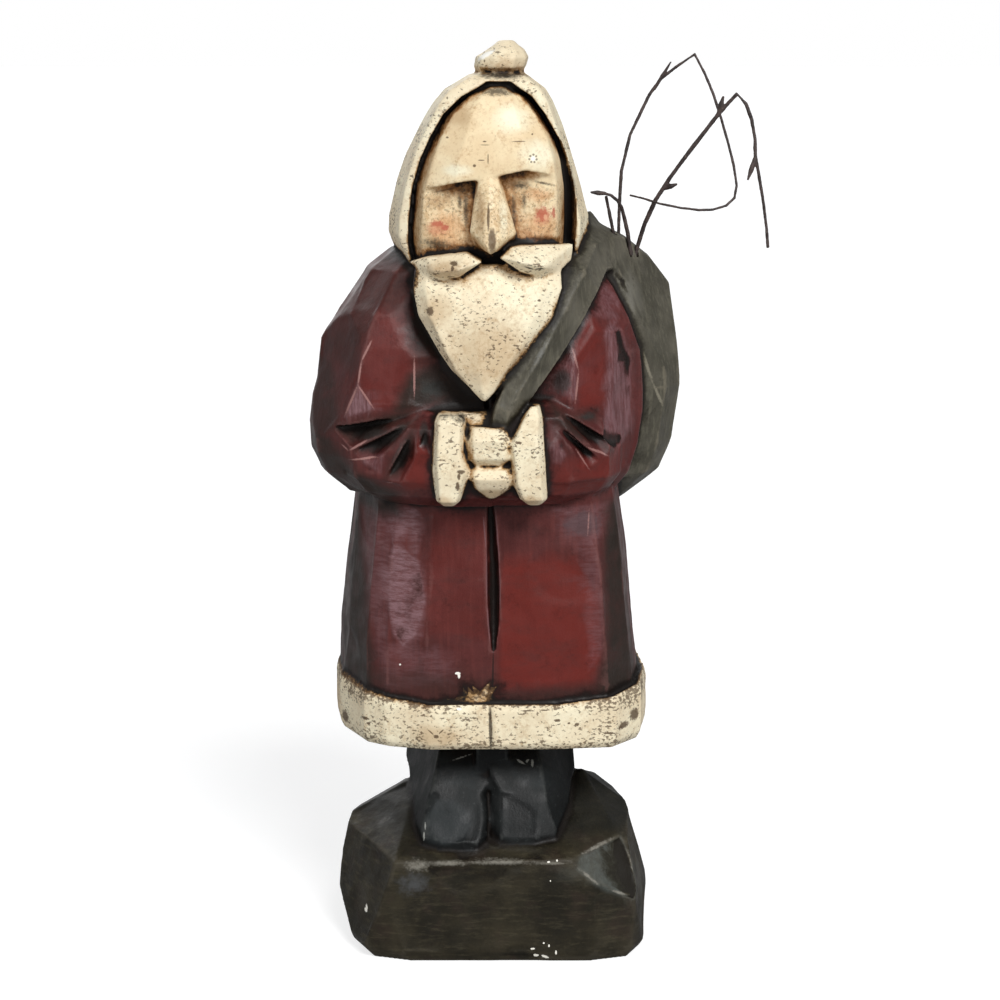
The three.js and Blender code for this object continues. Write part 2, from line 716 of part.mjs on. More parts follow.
const TWIGS = {
  twig_arched: {
    thick: 0.8,
    thin: 0.5,
    path: [
      [44.2, 6, 213], [47.3, 5, 223.5], [50.6, 4, 231.1], [55, 3.6, 238], [61, 3, 246.3],
      [69.8, 2, 257.9], [74.9, 0.4, 263.6], [77.6, -0.2, 260.6], [79.4, -0.6, 256],
      [80.5, -1.4, 250], [80.6, -2, 245], [81.6, -2.4, 240], [83.2, -3, 231],
      [84.3, -3.6, 223], [84.8, -4, 217],
    ],
    shoots: [
      [[53.2, 3.8, 234.6], [57.2, 2.6, 236.1]],
      [[69.4, 2.2, 257.4], [70.9, 1.6, 262.9]],
      [[80.6, -2, 244.4], [78.3, -3.2, 237.6]],
    ],
  },
  twig_looped: {
    thick: 0.6,
    thin: 0.4,
    path: [
      [39.4, 9, 215.5], [39.6, 9.4, 227], [40.2, 10, 239.4], [42.9, 12, 250.6],
      [48.8, 14, 262.8], [52.4, 14.2, 267.8], [57.4, 14.2, 271.6], [62.8, 14, 275.3],
      [65.8, 12, 269.6], [68.3, 10, 263.6], [70.6, 8.6, 256.7], [72.8, 6.4, 249],
      [74.6, 4.4, 241.8], [75.5, 3, 235.6], [74.8, 2, 231.8], [72.1, 1, 229.5],
      [68, 0, 228.4], [63.9, -0.4, 228.3], [58, -0.4, 229], [51.6, 0.6, 230.2],
      [46.6, 2.6, 231.7], [42.6, 4.6, 232.5],
    ],
    shoots: [[[50.4, 14.2, 264.6], [55.5, 13.4, 273.1]]],
  },
  twig_hooked: {
    thick: 0.75,
    thin: 0.45,
    path: [
      [43.1, 2.6, 214], [42, 2.4, 221], [40.8, 1.8, 226.1], [40, 0.8, 229],
      [38.6, -0.4, 231.2], [36.6, -1.4, 232.9], [34.4, -2.2, 233.6],
    ],
    shoots: [[[34.8, -2.1, 233.5], [30.1, -3.6, 234]]],
  },
  twig_short: {
    thick: 0.65,
    thin: 0.5,
    path: [[38.6, 1.2, 214], [37.6, 1, 220.8], [36.3, 0.6, 227], [35.1, 0.4, 232.6]],
    shoots: [],
  },
};
const ROD_UP = [0.18, -0.98, 0.08]; // no twig runs this way, so no rod is twisted

const rod = (path, radii, sides) =>
  along(path.map((place, i) => [...place, radii[i], radii[i]]), sides, ROD_UP);

function makeTwig({ path, thick, thin, shoots }) {
  const radii = path.map((_, i) => thick + ((thin - thick) * i) / (path.length - 1));
  const stem = rod(path, radii, 7);
  const side = shoots.map(([from, to]) => {
    const middle = from.map((value, i) => (value + to[i]) / 2);
    return rod([from, middle, to], [thin + 0.15, thick + 0.1, thin * 0.8], 6);
  });
  return join(stem, ...side);
}

function makeHole({ path, thick }) {
  const drilled = 16;
  const [foot, next] = vectors(path.slice(0, 2));
  const way = next.sub(foot).normalize();
  const floor = foot.clone().addScaledVector(way, -TWIG_GAP);
  const mouth = foot.clone().addScaledVector(way, drilled);
  const radius = thick + TWIG_GAP;
  return rod([floor.toArray(), mouth.toArray()], [radius, radius], 10);
}

// The whole casting, and the twigs in it

function makeFigure() {
  const coat = join(makeSkirt(), makeRightSleeve(), makeLeftSleeve());
  const carvedCoat = cut(join(coat, makeHem()), makeSlit(), ...makeFolds());
  const whole = join(
    makeRock(),
    makeBoots(),
    carvedCoat,
    makeSack(),
    makeCuffs(),
    makeHands(),
    makeHead(),
  );
  return cut(whole, ...Object.values(TWIGS).map(makeHole));
}

function addPiece(group, name, solid, color, roughness) {
  const material = new THREE.MeshStandardMaterial({ color, roughness, metalness: 0 });
  material.flatShading = true;
  const mesh = new THREE.Mesh(geometryFrom(solid), material);
  mesh.name = name;
  group.add(mesh);
}

const santa = new THREE.Group();
addPiece(santa, "figure", makeFigure(), 0x6b2b26, 0.55);
for (const [name, twig] of Object.entries(TWIGS)) {
  addPiece(santa, name, makeTwig(twig), 0x3a2f2c, 0.8);
}

export default santa;
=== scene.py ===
# %% [markdown]
# # A cast figurine of Father Christmas, painted to look like old whittled wood
#
# The real thing is one resin casting. A carver cut the first one with a knife, a mould
# was made of it, and each copy is painted, wiped with a dark glaze and rubbed pale on
# its high edges. Four dry twigs are stuck in the sack.
#
# Here the CAD solids give the form, to the millimetre. Blender gives the casting its
# soft edges, its small knife facets and its pits, and then it is painted in the order
# that a painter would use: base colours, stains, dark glaze in the hollows, and a dry
# brush over the ridges. Some light is painted in too: painted shade, painted highlights
# and a painted sheen on the worn flats.

from math import atan2, cos, degrees, hypot, pi, radians, sin

import bmesh
import bpy
import numpy as np
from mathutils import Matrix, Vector
from mathutils.bvhtree import BVHTree


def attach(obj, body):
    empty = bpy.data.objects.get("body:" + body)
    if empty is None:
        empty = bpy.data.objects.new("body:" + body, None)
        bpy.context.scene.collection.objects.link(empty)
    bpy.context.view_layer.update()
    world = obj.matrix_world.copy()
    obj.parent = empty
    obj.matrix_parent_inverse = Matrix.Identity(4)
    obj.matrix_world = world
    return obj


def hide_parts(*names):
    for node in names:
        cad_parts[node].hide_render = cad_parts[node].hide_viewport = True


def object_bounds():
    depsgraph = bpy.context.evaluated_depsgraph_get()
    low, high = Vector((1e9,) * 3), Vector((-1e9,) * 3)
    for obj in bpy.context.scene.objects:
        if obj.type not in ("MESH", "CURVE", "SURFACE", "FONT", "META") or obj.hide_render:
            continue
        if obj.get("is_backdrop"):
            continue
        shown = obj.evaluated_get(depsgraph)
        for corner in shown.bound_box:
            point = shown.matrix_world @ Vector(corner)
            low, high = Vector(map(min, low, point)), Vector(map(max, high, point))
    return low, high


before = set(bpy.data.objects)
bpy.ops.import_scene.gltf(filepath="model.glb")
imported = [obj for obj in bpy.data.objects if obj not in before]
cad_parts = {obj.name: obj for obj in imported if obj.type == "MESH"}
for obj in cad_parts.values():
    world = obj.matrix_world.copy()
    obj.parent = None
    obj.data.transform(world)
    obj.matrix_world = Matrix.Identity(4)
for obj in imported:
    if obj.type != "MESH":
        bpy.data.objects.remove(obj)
cad_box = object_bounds()
MM = 0.001
print("pieces in the frame:", sorted(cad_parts))
print("height in mm:", round((cad_box[1].z - cad_box[0].z) / MM, 1))

# %% [markdown]
# ## The camera
#
# The photograph was taken from 0.8 m away, a little above the top of his hood, looking
# down by about eleven degrees. A camera that stands where the real one stood gives the
# same overlaps: the top of the hem shows, and so does the top of the rock.

# %% Camera
camera_data = bpy.data.cameras.new("camera")
camera_data.sensor_width = 36
camera_data.lens = 93.24
camera = bpy.data.objects.new("camera", camera_data)
camera.location = (2.5 * MM, -0.8, 0.29)
camera.rotation_euler = (radians(90 - 10.8), 0, 0)
bpy.context.scene.collection.objects.link(camera)
bpy.context.scene.camera = camera
print("camera at", tuple(round(value, 3) for value in camera.location))

# %% [markdown]
# ## Floor and light
#
# A satin paint shows its facets only when something pale is mirrored in it. So a broad
# soft key light stands in front, high and to his left, and two tall panels stand beside
# the camera. The planes of the coat that turn towards a panel catch it. The planes that
# turn right away mirror the dim room, and stay dark, as in the photograph.

# %% Light
scene = bpy.context.scene
scene.view_settings.view_transform = "Standard"
scene.view_settings.look = "None"


def aim(thing, target):
    """Turns a light so that it shines at a point."""
    way = Vector(target) - thing.location
    thing.rotation_euler = way.to_track_quat("-Z", "Y").to_euler()


def add_light(name, kind, place, target, energy, **settings):
    data = bpy.data.lights.new(name, kind)
    data.energy = energy
    for key, value in settings.items():
        setattr(data, key, value)
    light = bpy.data.objects.new(name, data)
    light.location = place
    scene.collection.objects.link(light)
    aim(light, target)
    return light


chest = (0, 0, 0.17)
add_light("key", "SUN", (0.42, -1.0, 1.15), chest, 2.5, angle=radians(22))
add_light("back_fill", "SUN", (-0.5, 1.4, 0.9), chest, 0.9, angle=radians(50))
panel = {"shape": "RECTANGLE", "size": 0.24, "size_y": 0.4}
add_light("panel_left", "AREA", (-0.6, -0.5, 0.44), chest, 1.3, **panel)
add_light("panel_right", "AREA", (0.55, -0.62, 0.44), chest, 1.1, **panel)

world = bpy.data.worlds.new("room")
scene.world = world
world.use_nodes = True
room = world.node_tree
backdrop = room.nodes["Background"]
backdrop.inputs["Color"].default_value = (1, 1, 1, 1)
backdrop.inputs["Strength"].default_value = 1.0
dim = room.nodes.new("ShaderNodeBackground")
dim.inputs["Color"].default_value = (0.92, 0.95, 1, 1)
dim.inputs["Strength"].default_value = 0.2
seen = room.nodes.new("ShaderNodeLightPath")
either = room.nodes.new("ShaderNodeMixShader")
room.links.new(seen.outputs["Is Camera Ray"], either.inputs[0])
room.links.new(dim.outputs[0], either.inputs[1])
room.links.new(backdrop.outputs[0], either.inputs[2])
room.links.new(either.outputs[0], room.nodes["World Output"].inputs["Surface"])

# %% Floor
bm = bmesh.new()
bmesh.ops.create_circle(bm, cap_ends=True, segments=96, radius=12)
floor_mesh = bpy.data.meshes.new("floor")
bm.to_mesh(floor_mesh)
bm.free()
floor = bpy.data.objects.new("floor", floor_mesh)
scene.collection.objects.link(floor)
floor_paint = bpy.data.materials.new("floor_white")
floor_paint.use_nodes = True
floor_tree = floor_paint.node_tree
floor_shader = floor_tree.nodes["Principled BSDF"]
floor_shader.inputs["Base Color"].default_value = (0.42, 0.42, 0.42, 1)
floor_shader.inputs["Roughness"].default_value = 0.9
floor_shader.inputs["Specular IOR Level"].default_value = 0.1
floor_shader.inputs["Emission Color"].default_value = (1, 1, 1, 1)
floor_seen = floor_tree.nodes.new("ShaderNodeLightPath")
floor_glow = floor_tree.nodes.new("ShaderNodeMath")
floor_glow.operation = "MULTIPLY"
floor_glow.inputs[1].default_value = 0.72
floor_tree.links.new(floor_seen.outputs["Is Camera Ray"], floor_glow.inputs[0])
floor_tree.links.new(floor_glow.outputs[0], floor_shader.inputs["Emission Strength"])
floor_mesh.materials.append(floor_paint)
floor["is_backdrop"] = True
print("floor radius in m:", 12)

# %% [markdown]
# ## From facets to a fine skin
#
# The CAD solid is a few thousand flat triangles with knife-sharp edges. A casting is
# softer: plaster and rubber moulds round every edge by about half a millimetre. A voxel
# remesh turns a copy of the solid into one even skin of small faces, fine enough to
# take that softness and every mark that follows. The CAD node itself is left alone.

# %% A merged copy of a CAD node, and its fine skin


def merged_copy(node, name):
    """A copy of a CAD node with its loose triangles joined into one closed skin."""
    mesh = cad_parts[node].data.copy()
    mesh.name = name
    mesh.materials.clear()
    bm = bmesh.new()
    bm.from_mesh(mesh)
    bmesh.ops.remove_doubles(bm, verts=bm.verts, dist=2e-6)
    bm.to_mesh(mesh)
    bm.free()
    return mesh


def apply_modifiers(piece):
    """Gives the piece the mesh that its modifiers make, and takes them off."""
    graph = bpy.context.evaluated_depsgraph_get()
    finished = bpy.data.meshes.new_from_object(piece.evaluated_get(graph))
    piece.modifiers.clear()
    piece.data = finished
    return finished


def fine_skin(node, name, voxel):
    """A new piece: the node's form as an even skin with faces about a voxel wide."""
    piece = bpy.data.objects.new(name, merged_copy(node, name + "_merged"))
    scene.collection.objects.link(piece)
    remesh = piece.modifiers.new("remesh", "REMESH")
    remesh.mode = "VOXEL"
    remesh.voxel_size = voxel
    apply_modifiers(piece).name = name
    return piece


casting = fine_skin("figure", "santa_casting", 0.52 * MM)
print("fine skin:", len(casting.data.polygons), "faces")

# %% [markdown]
# ## Whose colour is where
#
# A painter knows where the coat ends, because a crease runs all round it. The same rule
# finds the paint areas here. Each area starts from a few points that lie on it and
# spreads over the CAD faces, like a colour that is brushed outwards. Going over a flat
# or outward edge costs only the way travelled. Going over an inward crease costs much
# more, and the sharper the crease the more, so each colour stops at its own crease.

# %% Paint areas on the CAD faces
from heapq import heappop, heappush

AREAS = ["coat", "fur", "face", "sack", "boots", "rock"]
STARTS = {
    "coat": [
        (-20, -35, 110), (20, -35, 110), (-46, 0, 110), (43, 0, 110), (0, 33, 110),
        (-40, -37, 177), (-30, -46, 153), (-50, 0, 170), (28, -46, 156), (38, -30, 180),
        (30, -33, 190), (0, 28, 190), (-30, 10, 205), (-18, -28, 205),
    ],
    "fur": [
        (-20, -38, 73), (20, -38, 73), (-49, 0, 76), (48, 0, 76), (0, 36, 76),
        (-12, -51, 155), (11, -51, 155), (0, -50, 162), (0, -50, 153),
        (-28, -8, 236), (26, -8, 236), (0, 18, 245), (-12, -29, 262), (14, -29, 262),
        (3, -22, 276), (4, -14, 280), (-14, -43, 215), (14, -43, 216),
        (-2, -47, 195), (0, -47, 185), (-18, -38, 205),
    ],
    "face": [
        (0, -36, 250), (-15, -32, 228), (15, -32, 228), (0, -44, 224), (-21, -22, 235),
        (21, -22, 235), (0, -30, 264),
    ],
    "sack": [
        (55, 5, 180), (20, 42, 180), (15, -40, 190), (24, -30, 203), (35, 0, 222),
        (4, -47, 174),
    ],
    "boots": [
        (-14, -27, 57), (13, -27, 57), (-14, -37, 37), (12, -35, 37), (-14, 12, 57),
        (13, 12, 57), (-28, -6, 58), (26, -6, 58),
    ],
    "rock": [
        (0, -41, 15), (0, 37, 20), (-48, 0, 20), (48, 0, 20), (0, 0, 0), (-40, -20, 38),
        (40, -20, 38), (0, 24, 44), (10, -38, 34),
    ],
}
CREASE_COST = 90 * MM  # extra way for each radian that a crease turns inward
FREE_CREASE = 0.12  # radians of inward turn that cost nothing


def paint_areas(solid):
    """The area of each CAD face, as a number in AREAS."""
    bm = bmesh.new()
    bm.from_mesh(solid)
    bm.faces.ensure_lookup_table()
    tree = BVHTree.FromBMesh(bm)
    middles = [face.calc_center_median() for face in bm.faces]
    cost = np.full(len(bm.faces), np.inf)
    area = np.full(len(bm.faces), -1)
    queue = []
    for number, name in enumerate(AREAS):
        for point in STARTS[name]:
            index = tree.find_nearest(Vector(point) * MM)[2]
            heappush(queue, (0.0, index, number))
    while queue:
        way, index, number = heappop(queue)
        if way >= cost[index]:
            continue
        cost[index], area[index] = way, number
        for edge in bm.faces[index].edges:
            for face in edge.link_faces:
                if face.index == index:
                    continue
                inward = max(0.0, -edge.calc_face_angle_signed(0.0) - FREE_CREASE)
                step = (middles[face.index] - middles[index]).length
                total = way + step + CREASE_COST * inward
                if total < cost[face.index]:
                    heappush(queue, (total, face.index, number))
    bm.free()
    return area


solid = merged_copy("figure", "figure_merged")
solid_area = paint_areas(solid)
solid_tree = BVHTree.FromPolygons(
    [vertex.co for vertex in solid.vertices],
    [tuple(face.vertices) for face in solid.polygons],
)
print("CAD faces in each area:", dict(zip(AREAS, np.bincount(solid_area, minlength=6))))

# %% [markdown]
# ## Soft edges
#
# Averaging each point with its neighbours softens a form, but it also wears away the
# sharp creases that give a carving its strength. So the softening has two parts: a
# light pass over everything, like the mould's own softness, and a long pass that leaves
# out the sharp edges. The long pass melts the facets of the face, hood and beard into
# the smooth egg that the real ones have, and hardly touches the coat.

# %% Arrays and softening


def read_points(mesh):
    points = np.empty(len(mesh.vertices) * 3)
    mesh.vertices.foreach_get("co", points)
    return points.reshape(-1, 3)


def read_normals(mesh):
    normals = np.empty(len(mesh.vertices) * 3)
    mesh.vertices.foreach_get("normal", normals)
    return normals.reshape(-1, 3)


def write_points(mesh, points):
    mesh.vertices.foreach_set("co", points.ravel())
    mesh.update()


class Softener:
    """Averages values over neighbouring points of one mesh."""

    def __init__(self, mesh):
        ends = np.empty(len(mesh.edges) * 2, dtype=np.int64)
        mesh.edges.foreach_get("vertices", ends)
        ends = ends.reshape(-1, 2)
        self.here = np.concatenate([ends[:, 0], ends[:, 1]])
        self.there = np.concatenate([ends[:, 1], ends[:, 0]])
        self.count = len(mesh.vertices)
        self.links = np.maximum(np.bincount(self.here, minlength=self.count), 1)

    def mean(self, values):
        columns = [
            np.bincount(self.here, weights=column[self.there], minlength=self.count)
            for column in values.T
        ]
        return np.stack(columns, axis=1) / self.links[:, None]

    def soften(self, values, passes, share=0.5):
        for _ in range(passes):
            values = values + share * (self.mean(values) - values)
        return values


def smooth_step(low, high, values):
    share = np.clip((values - low) / (high - low), 0, 1)
    return share * share * (3 - 2 * share)


def nearest_area(points):
    """The area of the CAD face that lies nearest each point."""
    found = [solid_tree.find_nearest(Vector(point))[2] for point in points]
    return solid_area[np.array(found)]


softener = Softener(casting.data)
points = read_points(casting.data)
area_here = nearest_area(points)
points = softener.soften(points, 2, 0.4)
write_points(casting.data, points)
print("points:", len(points))

# %% Melt the facets of the head, and a little of the rest
MELT = {"coat": 0.1, "fur": 0.5, "face": 0.8, "sack": 0.12, "boots": 0.12, "rock": 0.06}
EDGE_SCALE = 20  # passes that set the width over which an edge counts
KEPT_EDGE = (0.03 * MM, 0.09 * MM)  # a sharper edge than this keeps its place

normals = read_normals(casting.data)
blurred = softener.soften(points, EDGE_SCALE)
edge = np.abs(((points - blurred) * normals).sum(axis=1))
keep = smooth_step(*KEPT_EDGE, edge)
keep = np.maximum(keep, softener.soften(keep[:, None], 3)[:, 0])
melt = np.array([MELT[name] for name in AREAS])[area_here] * (1 - keep)
melt = softener.soften(melt[:, None], 4)
for _ in range(60):
    points = points + 0.5 * melt * (softener.mean(points) - points)
write_points(casting.data, points)
print("share of points that keep their edge:", round(float(keep.mean()), 3))

# %% [markdown]
# ## Knife facets
#
# Between the big planes, a whittler's knife leaves many small flats. Each one is a
# plane that goes a fraction of a millimetre into the form, tilted by a degree or two.
# Where two flats meet they leave a faint ridge. The code does the same: it scatters
# cutting planes over the skin, and each point sinks to the lowest plane near it.

# %% Small flats
FLAT_DEPTH = {
    "coat": 0.3, "fur": 0.16, "face": 0.05, "sack": 0.34, "boots": 0.25, "rock": 0.42,
}
FLAT_REACH = 16 * MM  # how far a flat reaches from its middle
FLAT_COUNT = 620
FLAT_TILT = 0.035


def whittle(points, normals, depth, rng):
    """How far each point moves along its normal when the flats are cut."""
    middles = rng.choice(len(points), FLAT_COUNT, replace=False)
    seat = points[middles]
    facing = normals[middles] + rng.normal(0, FLAT_TILT, (FLAT_COUNT, 3))
    facing /= np.linalg.norm(facing, axis=1)[:, None]
    seat = seat - facing * (depth[middles] * rng.uniform(0.2, 1.0, FLAT_COUNT))[:, None]
    moved = np.zeros(len(points))
    for start in range(0, len(points), 20000):
        part = slice(start, start + 20000)
        here, out = points[part], normals[part]
        along = out @ facing.T
        height = ((seat * facing).sum(axis=1)[None, :] - here @ facing.T) / np.maximum(along, 0.2)
        way = np.linalg.norm(here[:, None, :] - seat[None, :, :], axis=2)
        height *= 1 - smooth_step(0.5 * FLAT_REACH, FLAT_REACH, way)
        height[along < 0.9] = 0
        moved[part] = height.min(axis=1)
    return np.clip(moved, -1.6 * depth, 0)


rng = np.random.default_rng(20)
normals = read_normals(casting.data)
depth = np.array([FLAT_DEPTH[name] * MM for name in AREAS])[area_here]
depth = softener.soften(depth[:, None], 6)[:, 0] * (1 - 0.7 * keep)
sunk = whittle(points, normals, depth, rng)
sunk = softener.soften(sunk[:, None], 4)[:, 0]
points = points + normals * sunk[:, None]
write_points(casting.data, points)
print("deepest flat in mm:", round(float(-sunk.min() / MM), 2))

# %% [markdown]
# ## Flats that the photograph shows
#
# Some knife strokes stand out, because their flats are worn and catch the light: the
# long one down his left sleeve, the big ones on the skirt, the flat at the right end of
# the rock. Each is drawn here by its corners, seen from the front. The skin inside is
# pressed to one plane, a little below the form, and the same outline is used for paint:
# a paler worn colour that also paints the sheen which the satin paint shows there.

# %% Outlines of worn places with a painted sheen, of painted shade with glaze, and of painted light, as (strength, corners in x and z)
# Worn flats, painted paler: partly real wear, partly a painted sheen
WORN_AND_SHEEN = {
    "elbow": (1.0, [(-40, 179), (-44, 169), (-35, 172)]),
    "forearm": (0.45, [(-36, 158), (-32, 159), (-33, 153), (-40, 156)]),
    "skirt_main": (1.0, [
        (-30, 129), (-28, 129), (-22, 125), (-20, 113), (-22, 103), (-27, 98), (-30, 102),
        (-32, 112), (-32, 121),
    ]),
    "skirt_upper": (0.8, [(-32, 140), (-23, 141), (-20, 135), (-23, 132), (-31, 130)]),
    "skirt_side": (0.35, [(-40, 139), (-32, 140), (-31, 128), (-32, 98), (-37, 104)]),
    "skirt_low": (0.28, [(-36, 100), (-27, 98), (-16, 98), (-11, 88), (-33, 84)]),
    "skirt_left": (0.42, [(17, 141), (33, 142), (36, 136), (32, 130), (26, 130), (21, 136)]),
    "skirt_strip": (0.3, [(27, 129), (32, 129), (34, 113), (34, 97), (30, 91), (29, 113)]),
    "sleeve_long": (0.72, [
        (34, 194), (36, 196), (39, 194), (42.5, 184), (42.5, 164), (40, 160), (37, 159),
        (33.5, 163), (34.5, 174), (35, 188),
    ]),
    "sleeve_top": (0.4, [(34, 208), (39, 202), (38, 196), (30, 199)]),
    "sleeve_inner": (0.6, [(24, 190), (26, 183), (25, 174), (18, 179), (20, 185)]),
    "sleeve_low": (0.6, [(19, 164), (22, 159), (19, 156), (17, 161)]),
    "rock": (0.75, [(27, 33), (40, 36), (46, 22), (44, 19), (35, 22), (26, 29)]),
    "boot_toe": (0.6, [(-21, 42), (-17, 48), (-12, 48), (-5, 43), (-9, 37), (-19, 35)]),
    "boot_shin": (0.4, [(-17, 60), (-4, 60), (-4, 52), (-15, 52)]),
    "boot_left": (0.4, [(4, 59), (22, 57), (22, 51), (9, 52)]),
    "sack": (0.9, [(35, 209), (38, 210), (44, 205), (44, 194), (41, 201)]),
}
# Painted shade on the side planes, under the arms, elbow and beard; in the folds it is also the dark
# glaze
SHADE_AND_GLAZE = {
    "right_side": (1.0, [(-52, 142), (-41, 142), (-38, 105), (-36, 84), (-56, 76)]),
    "left_side": (1.0, [(36, 142), (56, 142), (58, 76), (31, 82), (35, 97), (34, 130)]),
    "above_hem": (0.55, [(-44, 92), (-8, 89), (2, 88), (2, 78), (-48, 78)]),
    "above_hem_left": (0.6, [(2, 84), (30, 87), (40, 90), (48, 80), (2, 78)]),
    "shoulder": (0.5, [(-60, 184), (-42, 216), (-18, 224), (-22, 199), (-34, 201), (-41, 184)]),
    "chest": (0.45, [(-24, 200), (-10, 180), (-22, 172), (-24, 180)]),
    "outer_sleeve": (0.75, [(-60, 188), (-48, 184), (-46, 168), (-50, 162), (-62, 160)]),
    "under_elbow": (0.95, [(-62, 164), (-49, 162), (-43, 154), (-28, 147), (-28, 138), (-54, 138)]),
    "fold_high": (1.0, [(-48, 165), (-27, 171.5), (-20, 173), (-31, 166), (-42, 161)]),
    "fold_mid": (1.0, [(-41, 159), (-34, 165), (-22, 170), (-26, 166), (-30, 161)]),
    "fold_low": (0.9, [(-32, 151), (-30, 157), (-23, 168), (-23, 161), (-28, 152)]),
    "under_beard": (1.0, [(-25, 182), (-16, 186), (-2, 174), (-2, 168), (-18, 173), (-30, 170)]),
    "left_fold": (0.7, [(23, 171), (32, 171), (32, 168), (25, 168)]),
    "left_crease": (0.9, [(16, 177), (20, 173), (36, 159), (26, 163), (18, 169)]),
}
# Painted light: planes of the coat that face the light get a brighter red
PAINTED_LIGHT = {
    "forearm": (1.0, [(-22, 164), (-18, 160), (-20, 147), (-27, 150)]),
    "upper_arm": (0.5, [(-38, 186), (-33, 200), (-23, 197), (-23, 174), (-34, 172), (-40, 179)]),
    "skirt_right": (0.4, [(-19, 140), (-2, 140), (-2, 101), (-19, 103)]),
    "skirt_left": (1.0, [(3, 124), (25, 126), (32, 113), (33, 94), (30, 86), (2, 85)]),
    "sleeve": (0.9, [(28, 200), (34, 194), (34, 172), (26, 172), (26, 183), (23, 191)]),
    "sleeve_low": (0.8, [(23, 158), (38, 157), (36, 148), (18, 146), (19, 155)]),
}


def inside(places, corners):
    """How far each place (x, z) lies inside the outline in mm; negative is outside."""
    corners = np.array(corners, dtype=float)
    gap = np.full(len(places), np.inf)
    odd = np.zeros(len(places), dtype=bool)
    for start, end in zip(corners, np.roll(corners, -1, axis=0)):
        gap = np.minimum(gap, from_line(places, start, end))
        rise = (start[1] > places[:, 1]) != (end[1] > places[:, 1])
        slope = (end[0] - start[0]) / (end[1] - start[1] + 1e-9)
        cross = start[0] + (places[:, 1] - start[1]) * slope
        odd ^= rise & (places[:, 0] < cross)
    return np.where(odd, gap, -gap)


def from_line(places, start, end):
    """How far each place lies from the straight line between two points."""
    way = end - start
    share = ((places - start) @ way) / max(float(way @ way), 1e-9)
    return np.linalg.norm(places - start - np.clip(share, 0, 1)[:, None] * way, axis=1)


def patch_mask(points, normals, patches, soft=0.8):
    """The strength of the outlines at each point of the front."""
    places = points[:, [0, 2]] / MM
    front = smooth_step(0.0, 0.25, -normals[:, 1])
    mask = np.zeros(len(points))
    for strength, corners in patches.values():
        here = smooth_step(-soft, soft, inside(places, corners))
        mask = np.maximum(mask, strength * here)
    return mask * front


PRESSED = ["elbow", "skirt_main", "sleeve_long", "rock", "boot_toe", "sack"]
PRESS_DEPTH = 0.2 * MM
places = points[:, [0, 2]] / MM
normals = read_normals(casting.data)
for name in PRESSED:
    corners = WORN_AND_SHEEN[name][1]
    within = smooth_step(-0.2, 0.6, inside(places, corners)) * (normals[:, 1] < -0.1)
    chosen = within > 0.5
    middle = points[chosen].mean(axis=0)
    facing = np.linalg.svd(points[chosen] - middle, full_matrices=False)[2][2]
    facing = facing * -np.sign(facing[1])
    lift = (points - middle) @ facing + PRESS_DEPTH
    near_plane = np.abs(lift) < 2.5 * MM
    points = points - (0.85 * within * near_plane * np.maximum(lift, 0))[:, None] * facing
write_points(casting.data, points)
print("flats pressed:", len(PRESSED))

# %% Fewer faces where the skin is plain
FACE_LIMIT = 188000
triangles = sum(len(face.vertices) - 2 for face in casting.data.polygons)
thin = casting.modifiers.new("thin", "DECIMATE")
thin.ratio = FACE_LIMIT / triangles
skin = apply_modifiers(casting)
skin.name = "santa_casting"
print("triangles:", triangles, "thinned to", len(skin.polygons))

# %% [markdown]
# ## Hollows and ridges
#
# A wiped glaze stays in the hollows, and a dry brush touches only the ridges. Both need
# to know how far each point stands out from the form around it. Softened copies of the
# skin give that: a point in front of its softened place is on a ridge, and a point
# behind it is in a hollow. A short softening finds edges, a long one finds recesses.

# %% Measure hollows and ridges
softener = Softener(skin)
points = read_points(skin)
normals = read_normals(skin)
near = softener.soften(points, 5)
middle = softener.soften(near, 40)


def stand_out(close, wide):
    return ((close - wide) * normals).sum(axis=1) / MM


fine_form = stand_out(points, near)
mid_form = stand_out(near, middle)
ridge = smooth_step(0.03, 0.2, fine_form) + 0.6 * smooth_step(0.15, 0.9, mid_form)
hollow = smooth_step(0.05, 0.2, -fine_form) + smooth_step(0.16, 0.9, -mid_form)


def store(name, values):
    """Keeps one number for each point, which a material can read by name."""
    layer = skin.attributes.new(name, "FLOAT", "POINT")
    layer.data.foreach_set("value", np.clip(values, 0, 1).astype(np.float32))


store("ridge", softener.soften(ridge[:, None], 1)[:, 0])
store("hollow", softener.soften(hollow[:, None], 1)[:, 0])
print("mean ridge and hollow:", round(float(ridge.mean()), 3), round(float(hollow.mean()), 3))

# %% [markdown]
# Glaze also gathers wherever a rag can't reach, and shade falls there too: under the
# beard, under the sleeves and behind the hem. These places get glaze and painted shade.
# To find them, a few feelers go out from each point in all directions. The share that
# meets the figure within 22 mm tells how sheltered it is.

# %% Measure shelter
FEELERS = 14
FEELER_LENGTH = 22 * MM


def shelter(points, normals):
    turns = np.arange(FEELERS) * pi * (3 - 5 ** 0.5)
    rise = (np.arange(FEELERS) + 0.5) / FEELERS
    flat = np.sqrt(1 - rise ** 2)
    feelers = np.stack([flat * np.cos(turns), flat * np.sin(turns), rise], axis=1)
    side = np.cross(normals, [0.31, 0.52, 0.8])
    side /= np.linalg.norm(side, axis=1)[:, None] + 1e-9
    other = np.cross(normals, side)
    starts = points + normals * 0.9 * MM
    met = np.zeros(len(points))
    for feeler in feelers:
        ways = side * feeler[0] + other * feeler[1] + normals * feeler[2]
        for index, (start, way) in enumerate(zip(starts, ways)):
            hit = solid_tree.ray_cast(start, way, FEELER_LENGTH)
            if hit[0] is not None:
                met[index] += 1 - hit[3] / FEELER_LENGTH
    return met / FEELERS


